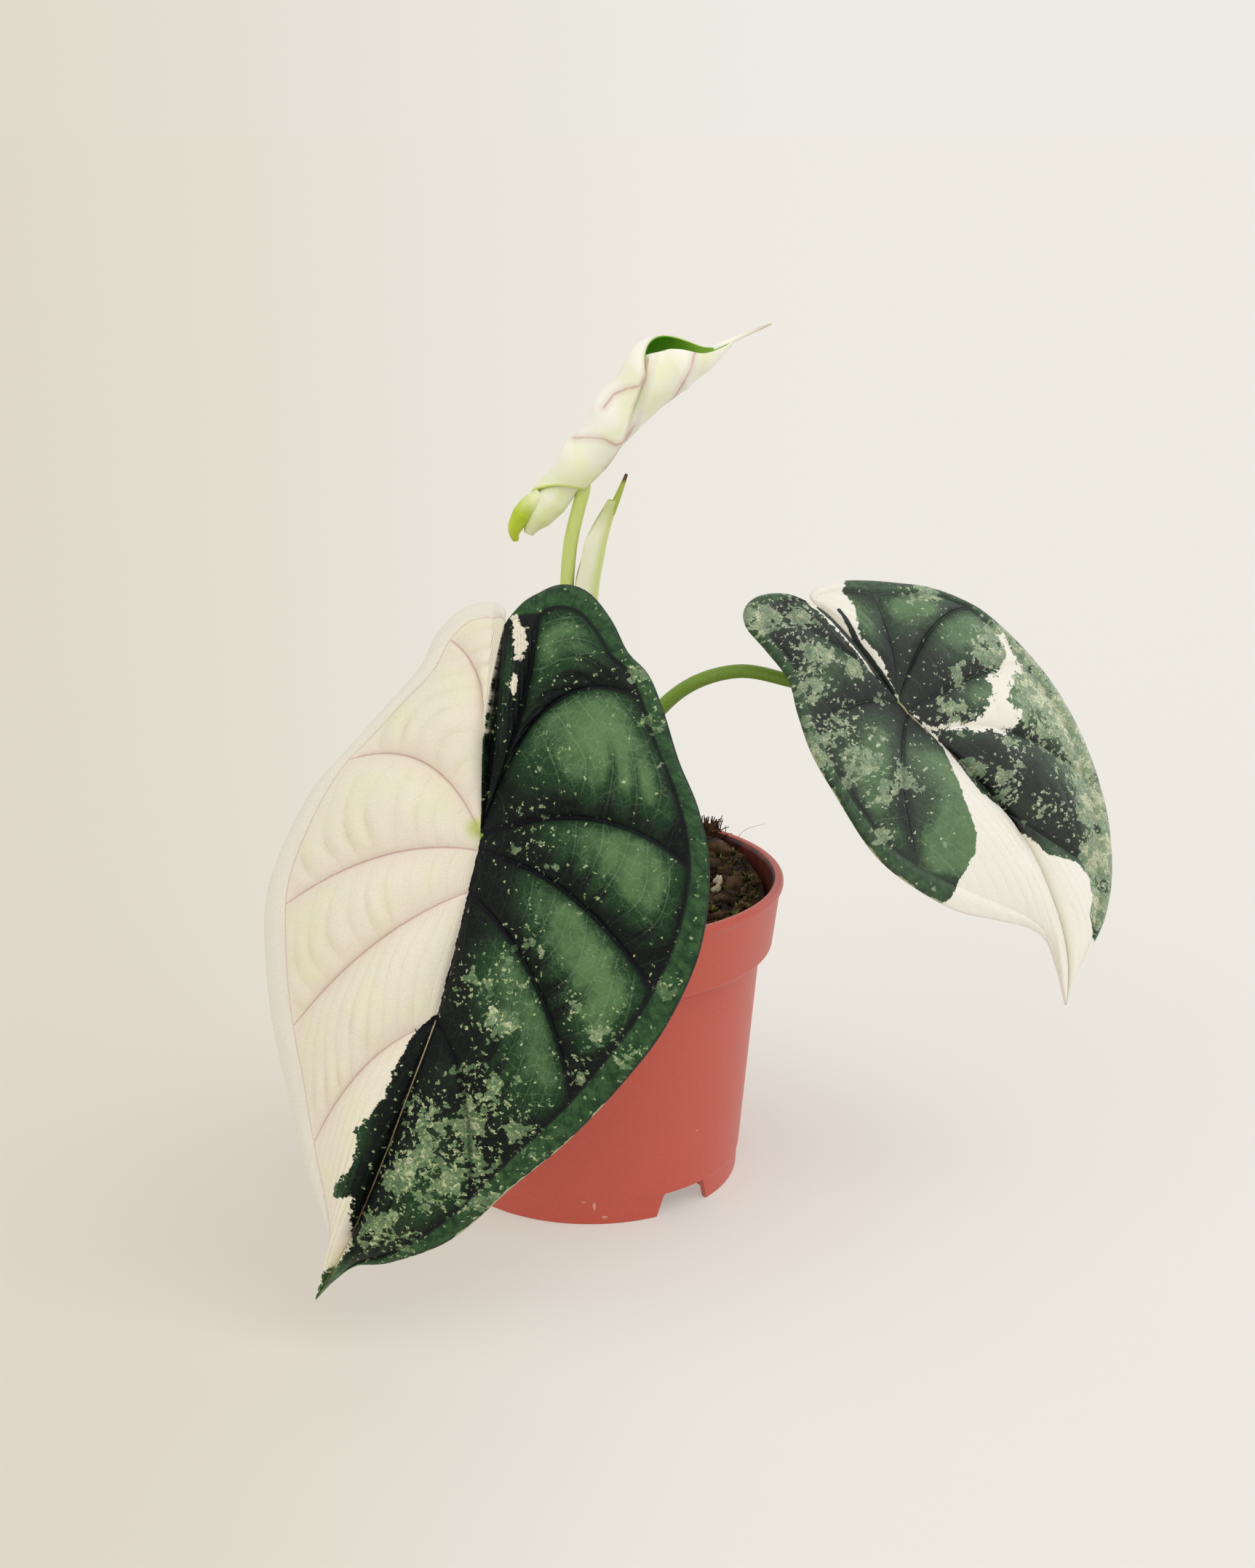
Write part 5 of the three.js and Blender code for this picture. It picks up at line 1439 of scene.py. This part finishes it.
def soil_height(radius, angle):
    """Height of the soil's surface, as in the construction, with a finer crumb."""
    slow = np.sin(radius * 0.31 + 2.1 * np.cos(angle)) + np.cos(radius * 0.23 - 3 * angle)
    fast = np.sin(radius * 0.9 + 5 * angle) * np.minimum(1, radius / 20)
    x, y = radius * np.cos(angle), radius * np.sin(angle)
    crumb = np.zeros_like(x)
    for number in range(1, 15):
        heading, pace = 2.4 * number, 0.55 + 0.21 * number
        wave = pace * (x * math.cos(heading) + y * math.sin(heading)) + number
        crumb += 0.32 * np.sin(wave) / number ** 0.6
    heap = SOIL["heap"]
    turned = np.degrees(np.angle(np.exp(1j * (angle - math.radians(heap["angle"])))))
    heaped = heap["height"] * bell(turned, heap["spread"]) * smoothstep(heap["from"], 40, radius)
    return SOIL["surface"] + SOIL["bumps"] * (0.4 * slow + 0.25 * fast) + 0.45 * crumb + heaped


def make_soil_bed():
    """The plug of potting mix, with a crumbly top."""
    rings, spokes = 90, 260
    angle = full_turn(spokes)
    rows = [np.stack([radius * np.cos(angle), radius * np.sin(angle), np.full(spokes + 1, z)], -1)
            for radius, z in ((0.0, SOIL["underside"]), (SOIL["foot"], SOIL["underside"]), SOIL["ledge"],
                              (SOIL["edge"], SOIL["wall_top"]))]
    for ring in range(rings + 1):
        radius = SOIL["edge"] * (1 - ring / rings)
        around = angle if radius else np.zeros_like(angle)
        height = soil_height(np.full(spokes + 1, radius), around)
        rows.append(np.stack([radius * np.cos(angle), radius * np.sin(angle), height], -1))
    points = np.array(rows)
    points[:, -1] = points[:, 0]
    return sheet_object("soil_bed", points)


def soil_material(settings):
    """Dark fibrous potting mix."""
    r = Recipe("potting_mix")
    place = r.place()
    coarse = r.noise(place, 320.0, 6.0, 0.7)
    surface = r.mix(r.ramp(coarse, 0.35, 0.72), settings.earth, settings.bark)
    surface = r.mix(r.ramp(r.noise(place, 90.0, 3.0), 0.55, 0.7, 0.0, 0.45), surface, settings.moss)
    fibre = r.noise(r.scaled(place, (1.0, 0.25, 1.0)), 1500.0, 3.0, 0.7)
    surface = r.mix(r.ramp(fibre, 0.62, 0.75, 0.0, 0.6), surface, POT_TONE.fibre)
    r.bump(coarse, 0.0009)
    return r.finish(surface, 0.92, 0.2)


def plain_material(name, light, dark, scale, roughness, depth):
    """A rough natural finish between two colours."""
    r = Recipe(name)
    mottled = r.noise(r.place(), scale, 4.0, 0.65)
    r.bump(mottled, depth)
    return r.finish(r.mix(r.ramp(mottled, 0.35, 0.65), light, dark), roughness, 0.25)


def chip_object(name, size, flat, seed):
    """A small rough lump with a few dozen faces."""
    body = bmesh.new()
    bmesh.ops.create_cube(body, size=1.0)
    bmesh.ops.subdivide_edges(body, edges=body.edges, cuts=1, use_grid_fill=True)
    for vertex in body.verts:
        rough = noise.noise(vertex.co * 2.3) + 0.35 * math.sin(seed + 9 * vertex.co.x)
        vertex.co = vertex.co.lerp(vertex.co.normalized() * 0.6, 0.55) * (1 + 0.3 * rough)
        vertex.co.x *= size
        vertex.co.y *= size * flat[0]
        vertex.co.z *= size * flat[1]
    mesh = bpy.data.meshes.new(name)
    body.to_mesh(mesh)
    body.free()
    return linked(name, mesh)


def tuft_object(name, seed, blades=6, height=1.0):
    """A tuft of tapering moss leaves."""
    random = np.random.default_rng(seed)
    points, faces = [], []
    for _ in range(blades):
        heading, lean = random.uniform(0, 6.28), random.uniform(0.2, 0.9)
        reach = random.uniform(0.6, 1.0) * height
        side = np.array([-math.sin(heading), math.cos(heading), 0]) * 0.12 * height
        out = np.array([math.cos(heading), math.sin(heading), 0])
        root = out * 0.1 * height
        middle = root + out * lean * 0.45 * reach + np.array([0, 0, 0.6 * reach])
        tip = root + out * lean * reach + np.array([0, 0, 0.95 * reach])
        keel = np.cross(side, out) * 0.4
        start = len(points)
        points += [root - side, root + side, root + keel, middle - side, middle + side, middle + keel, tip]
        faces += [[start + corner for corner in face] for face in (
            (0, 3, 4, 1), (1, 4, 5, 2), (2, 5, 3, 0), (3, 6, 4), (4, 6, 5), (5, 6, 3), (0, 1, 2))]
    made = bare_object(name, points, faces=faces)
    face_outwards(made.data)
    return made


def make_lump(name, place, size):
    """An uneven rounded lump at a place in the soil."""
    height, turn = stations(np.linspace(0, math.pi, 24), full_turn(36))
    swell = 1 + 0.16 * np.sin(3 * turn + 4 * height) * np.sin(height)
    swell = swell + 0.08 * np.sin(7 * height + 5 * np.cos(turn))
    points = np.stack([np.sin(height) * np.cos(turn), np.sin(height) * np.sin(turn), np.cos(height)], -1)
    points = points * swell[..., None] * np.array(size) + np.array(place)
    points[:, -1] = points[:, 0]
    return sheet_object(name, points)


def soil_ring(name, outer, inner):
    """A flat ring of soil surface that loose pieces are scattered over."""
    distance, angle = stations(np.linspace(inner, outer, 16), full_turn(72))
    points = np.stack([distance * np.cos(angle), distance * np.sin(angle), soil_height(distance, angle)], -1)
    return bare_object(name, in_frame(points.reshape(-1, 3)), faces=grid_faces(*angle.shape)[:, ::-1])


def scatter(name, ring, shapes, material, count, seed, sizes, lift, tilt):
    """Scatters shapes over a ring of soil at random turns and sizes, and removes the shapes' own objects."""
    tree = Tree(f"{name}_scatter")
    amount = tree.input("Count", "Int", count)
    draw = tree.input("Seed", "Int", seed)
    smallest = tree.input("Smallest", "Float", sizes[0])
    largest = tree.input("Largest", "Float", sizes[1])
    total = tree.out("GeometryNodeAttributeStatistic", {
        "Geometry": tree.base(), "Attribute": tree.out("GeometryNodeInputMeshFaceArea")}, "Sum",
        data_type="FLOAT", domain="FACE")
    spread = tree.out("GeometryNodeDistributePointsOnFaces",
                      {"Mesh": tree.base(), "Density": amount / total, "Seed": draw})
    raised = tree.out("GeometryNodeSetPosition", {"Geometry": spread, "Offset": (0, 0, lift)})
    bag = tree.node("GeometryNodeJoinGeometry")
    for shape in shapes:
        tree.feed(bag.inputs[0], tree.out("GeometryNodeObjectInfo", {"Object": shape, "As Instance": True},
                                          "Geometry", transform_space="ORIGINAL"))
    turn = tree.out("FunctionNodeRandomValue", {0: (-tilt, -tilt, 0.0), 1: (tilt, tilt, 2 * math.pi),
                                                "Seed": draw}, data_type="FLOAT_VECTOR")
    size = tree.out("FunctionNodeRandomValue", {2: smallest, 3: largest, "Seed": draw}, 1, data_type="FLOAT")
    placed = tree.out("GeometryNodeInstanceOnPoints", {
        "Points": raised, "Instance": Field(tree, bag.outputs[0]), "Pick Instance": True, "Rotation": turn,
        "Scale": size})
    tree.finish(placed, material)
    made = tree.apply(name, soil_ring(f"{name}_ground", *ring))
    for shape in shapes:
        bpy.data.objects.remove(shape)
    return made


def strands_object(name, strands):
    """Several separate lines with their thicknesses, as the base of a tube tree."""
    points, edges, radii = [], [], []
    for line, radius in strands:
        start = len(points)
        points += [tuple(point) for point in in_frame(line)]
        radii += [radius * MM * taper for taper in np.linspace(1, 0.45, len(line))]
        edges += [(start + i, start + i + 1) for i in range(len(line) - 1)]
    return bare_object(name, points, edges, marks={"thickness": radii})


def fibre_line(random):
    """A coir fibre or fine root that lies on the soil."""
    angle, distance = random.uniform(0, 2 * np.pi), 36 * math.sqrt(random.uniform(0.08, 1))
    heading, reach = random.uniform(0, 2 * np.pi), random.uniform(3, 9)
    bend, lift = random.uniform(-0.6, 0.6), random.uniform(0.2, 1.6)
    line = []
    for step in np.linspace(0, 1, 6):
        turned = heading + bend * step
        x = distance * math.cos(angle) + reach * step * math.cos(turned)
        y = distance * math.sin(angle) + reach * step * math.sin(turned)
        if math.hypot(x, y) > 40:
            x, y = x * 40 / math.hypot(x, y), y * 40 / math.hypot(x, y)
        ground = float(soil_height(np.hypot(x, y), np.arctan2(y, x)))
        line.append((x, y, ground + 0.2 + lift * math.sin(math.pi * step)))
    return line


def shag_line(random):
    """A curling thread of the shaggy tuft at the back."""
    heading, lean, reach = random.uniform(0, 2 * np.pi), random.uniform(0.1, 1.2), random.uniform(2, 5)
    root = np.array([random.normal(0, 1.9), random.normal(0, 1.4), random.uniform(-1.5, 1.5)])
    curl = random.uniform(-1.2, 1.2)
    line = [np.array(SOIL["tuft"]) + root]
    for step in range(5):
        turned = heading + curl * step / 5
        rise = math.cos(lean * (0.5 + step * 0.25))
        line.append(line[-1] + reach / 5 * np.array([math.cos(turned) * lean, math.sin(turned) * lean, rise]))
    return line


def fibre_strands(seed, fibres=420, shag=260):
    """Fibres all over the soil, the shaggy tuft and one stray hair, each with its thickness."""
    random = np.random.default_rng(seed)
    strands = [(fibre_line(random), random.uniform(0.08, 0.2)) for _ in range(fibres)]
    strands += [(shag_line(random), random.uniform(0.15, 0.34)) for _ in range(shag)]
    return [*strands, (centripetal(SOIL["hair"], np.linspace(0, 1, 9)), 0.06)]


# Stage


def pale_tone(graph, direction, settings):
    """The tone of floor and backdrop in a direction from the camera."""
    across, ahead, _ = graph.split(direction)
    sideways = graph.ramp(across / graph.math("ABSOLUTE", ahead), *TONE_TURN)
    return graph.mix(sideways, settings.floor_left, settings.floor_right)


def make_camera():
    """The camera at the place that the pot's ellipses give."""
    camera = linked("camera", bpy.data.cameras.new("camera"))
    camera.location = np.array(CAMERA["place"]) * MM + POT_AXIS
    camera.rotation_euler = (math.radians(90 - CAMERA["pitch"]), 0, 0)
    camera.data.sensor_width = CAMERA["sensor"]
    camera.data.lens = CAMERA["focal"] / CAMERA["picture"] * CAMERA["sensor"]
    camera.data.clip_start, camera.data.clip_end = 0.01, 100
    bpy.context.scene.camera = camera
    return camera


def floor_material(settings, seen_from):
    """Pale paper. A faint glow of its own keeps its shadows as light as a paper sweep's."""
    r = Recipe("floor")
    shade = pale_tone(r, r.vector("SUBTRACT", r.place(), tuple(seen_from)), settings)
    r.feed(r.shader.inputs["Emission Color"], shade)
    r.shader.inputs["Emission Strength"].default_value = settings.floor_glow
    return r.finish(r.mix(settings.floor_glow, shade, (0.0, 0.0, 0.0, 1.0)), 1.0, 0.0)


def make_backdrop(settings):
    """The backdrop that the camera sees, and an even light from all round."""
    world = bpy.data.worlds.new("studio")
    bpy.context.scene.world = world
    world.use_nodes = True
    world.node_tree.nodes.clear()
    graph = Graph(world.node_tree)
    tone = pale_tone(graph, graph.out("ShaderNodeTexCoord", output="Generated"), settings)
    lit = graph.out("ShaderNodeBackground", {"Color": (1.0, 0.99, 0.965, 1.0), "Strength": settings.ambient})
    seen = graph.out("ShaderNodeBackground", {"Color": tone})
    by_camera = graph.out("ShaderNodeLightPath", output="Is Camera Ray")
    graph.node("ShaderNodeOutputWorld",
               {"Surface": graph.out("ShaderNodeMixShader", {0: by_camera, 1: lit, 2: seen})})


def make_sun(name, power):
    """A soft light that points at the plant."""
    place, spread, tone = SUNS[name]
    data = bpy.data.lights.new(name, "SUN")
    data.energy, data.color, data.angle = power, tone, math.radians(spread)
    light = linked(name, data)
    light.location = place
    aim = Vector((0.0, 0.0, 0.08)) - light.location
    light.rotation_euler = aim.to_track_quat("-Z", "Y").to_euler()


# Operators


class AlocasiaOperator:
    """What the operators share."""

    bl_options = {"REGISTER", "UNDO"}

    @staticmethod
    def settings(context, name):
        """The user's settings of that name."""
        return getattr(context.scene, name)


class ALOCASIA_OT_open_leaves(AlocasiaOperator, bpy.types.Operator):
    """Build the front and right leaves with their quilting and markings"""

    bl_idname = "alocasia.open_leaves"
    bl_label = "Open leaves"

    def execute(self, context):
        settings = self.settings(context, "alocasia_leaf")
        for leaf, slot in ((FRONT_LEAF, "quilted_leaf"), (RIGHT_LEAF, "mottled_leaf")):
            finish = LeafFinish(slot, settings, leaf["look"]).painted()
            finish_piece(make_blade(leaf, settings), slot, leaf["node"], material=finish)
        return {"FINISHED"}


class ALOCASIA_OT_rolled_leaf(AlocasiaOperator, bpy.types.Operator):
    """Build the youngest leaf, still rolled, with its drip tip"""

    bl_idname = "alocasia.rolled_leaf"
    bl_label = "Rolled leaf"

    def execute(self, context):
        settings = self.settings(context, "alocasia_young")
        finish_piece(make_scroll(), "new_leaf", "blade_young", material=young_leaf_material(settings))
        for name, line, finish, sides, steps in (
            ("drip_tip", "tail", tip_material, 12, 24),
            ("curled_lobe", "lobe", lobe_material, 24, 60),
            ("inner_roll", "inner_roll", inner_roll_material, 32, 60),
        ):
            radii = SCROLL[f"{line}_radius"]
            finish_piece(make_tube(name, SCROLL[line], radii, finish(settings), sides, steps), "new_leaf")
        return {"FINISHED"}


class ALOCASIA_OT_stalks(AlocasiaOperator, bpy.types.Operator):
    """Build the three leaf stalks, the papery sheath and the stem base"""

    bl_idname = "alocasia.stalks"
    bl_label = "Stalks and sheath"

    def execute(self, context):
        settings = self.settings(context, "alocasia_young")
        green = stalk_material("stalk", settings.stalk, YOUNG_TONE.green_streak)
        pale = stalk_material("young_stalk", settings.stalk_pale, YOUNG_TONE.pale_streak)
        for name, stalk in STALKS.items():
            material = pale if name == "petiole_young" else green
            piece = name.replace("petiole", "stalk")
            finish_piece(make_tube(piece, stalk_line(stalk), stalk["radii"], material), "stalk", name)
        finish_piece(make_sheath(), "leaf_sheath", "sheath_young", material=sheath_material(settings))
        withered = withered_material(settings)
        point = make_tube("sheath_point", SHEATH["point"], SHEATH["point_radius"], withered, 14, 20)
        finish_piece(point, "leaf_sheath")
        finish_piece(make_crown(), "stem_base", "crown", material=crown_material())
        return {"FINISHED"}


class ALOCASIA_OT_pot(AlocasiaOperator, bpy.types.Operator):
    """Build the nursery pot with its collar, rim and drainage notches"""

    bl_idname = "alocasia.pot"
    bl_label = "Pot"

    def execute(self, context):
        settings = self.settings(context, "alocasia_pot")
        profile = pot_profile()
        outline = np.stack([profile[:, 0], np.zeros(len(profile)), profile[:, 1]], -1) * MM
        tree = pot_tree(len(profile), settings.segments, pot_material(settings))
        pot = tree.apply("nursery_pot", line_object("pot_outline", outline))
        face_outwards(pot.data, weld=1e-6)
        pot.data.set_sharp_from_angle(angle=math.radians(40))
        finish_piece(pot, "pot_plastic", "pot")
        return {"FINISHED"}


class ALOCASIA_OT_soil(AlocasiaOperator, bpy.types.Operator):
    """Build the potting mix with its bark, moss, grit and fibres"""

    bl_idname = "alocasia.soil"
    bl_label = "Soil"

    def execute(self, context):
        settings, tone = self.settings(context, "alocasia_pot"), POT_TONE
        finish_piece(make_soil_bed(), "potting_mix", "soil", material=soil_material(settings))
        chips = [chip_object(f"chip_{k}", 2.2 * MM, flat, k) for k, flat in enumerate(SOIL["chips"])]
        grit = [chip_object(f"grit_{k}", 2.0 * MM, flat, k + 20) for k, flat in enumerate(SOIL["grit"])]
        tufts = [tuft_object(f"tuft_{k}", k, height=1.5 * MM) for k in range(4)]
        # Outer and inner radius, shapes, finish, number, draw, sizes, lift and tilt of the loose pieces
        for name, ring, shapes, finish, count, draw, sizes, lift, tilt in (
            ("bark_chips", (38.5, 0.0), chips, (settings.earth, settings.bark, 260.0, 0.85, 0.0003),
             settings.chips, 0, (0.45, 2.3), 0.0003, 0.7),
            ("grit", (37.0, 11.0), grit, (tone.grit_light, tone.grit_dark, 700.0, 0.9, 0.0002),
             24, 3, (0.5, 1.2), 0.0006, 1.0),
            ("moss", (39.0, 10.0), tufts, (tone.moss_dark, tone.moss_light, 260.0, 0.8, 0.0001),
             settings.moss_tufts, 5, (0.5, 1.6), 0.0002, 0.35),
        ):
            material = plain_material(name, *finish)
            seed = settings.seed + draw
            finish_piece(scatter(name, ring, shapes, material, count, seed, sizes, lift, tilt), "potting_mix")
        for name, place, size, light, dark in (
            ("root_stub", SOIL["stub"], (1.3, 1.2, 2.9), tone.stub_light, tone.stub_dark),
            ("moss_lump", SOIL["moss_lump"], (2.9, 2.6, 2.0), tone.lump_dark, tone.lump_light),
            ("peat_lump", SOIL["tuft"], (3.6, 2.6, 3.4), tone.peat_dark, tone.peat_light),
        ):
            material = plain_material(name, light, dark, 420.0, 0.8, 0.0003)
            finish_piece(make_lump(name, place, size), "potting_mix", material=material)
        thread = plain_material("fibres", tone.thread_dark, tone.thread_light, 300.0, 0.85, 0.00005)
        strands = strands_object("fibre_lines", fibre_strands(settings.seed))
        finish_piece(tube_tree("fibre_tubes", thread, 4).apply("fibres", strands), "potting_mix")
        return {"FINISHED"}


class ALOCASIA_OT_stage(AlocasiaOperator, bpy.types.Operator):
    """Set up the camera, the pale floor and the soft studio light"""

    bl_idname = "alocasia.stage"
    bl_label = "Stage"

    def execute(self, context):
        settings = self.settings(context, "alocasia_stage")
        camera = make_camera()
        bpy.ops.mesh.primitive_plane_add(size=60, location=(0, 0, 0))
        floor = context.object
        floor.name = "floor"
        floor.data.materials.append(floor_material(settings, camera.location))
        make_backdrop(settings)
        for name in SUNS:
            make_sun(name, getattr(settings, name))
        context.scene.view_settings.view_transform = "Standard"
        return {"FINISHED"}


OPERATORS = (
    ALOCASIA_OT_stage, ALOCASIA_OT_pot, ALOCASIA_OT_soil, ALOCASIA_OT_stalks, ALOCASIA_OT_open_leaves,
    ALOCASIA_OT_rolled_leaf,
)


class ALOCASIA_PT_panel(bpy.types.Panel):
    """Panel with the pieces of the plant."""

    bl_idname = "ALOCASIA_PT_panel"
    bl_label = "Potted alocasia"
    bl_space_type = "VIEW_3D"
    bl_region_type = "UI"
    bl_category = "Alocasia"

    def draw(self, context):
        for operator in OPERATORS:
            self.layout.operator(operator.bl_idname)
        for name, group in SETTINGS.items():
            box = self.layout.box()
            box.label(text=group.__doc__)
            for field in group.__annotations__:
                box.prop(getattr(context.scene, name), field)


CLASSES = (*SETTINGS.values(), *OPERATORS, ALOCASIA_PT_panel)


def register():
    """Adds the classes and the settings of the scene."""
    for item in CLASSES:
        bpy.utils.register_class(item)
    for name, group in SETTINGS.items():
        setattr(bpy.types.Scene, name, bpy.props.PointerProperty(type=group))


def unregister():
    """Takes the settings and the classes away again."""
    for name in SETTINGS:
        delattr(bpy.types.Scene, name)
    for item in reversed(CLASSES):
        bpy.utils.unregister_class(item)


def main():
    """Builds the whole scene."""
    register()
    for operator in OPERATORS:
        category, name = operator.bl_idname.split(".")
        getattr(getattr(bpy.ops, category), name)()


if __name__ == "__main__":
    main()
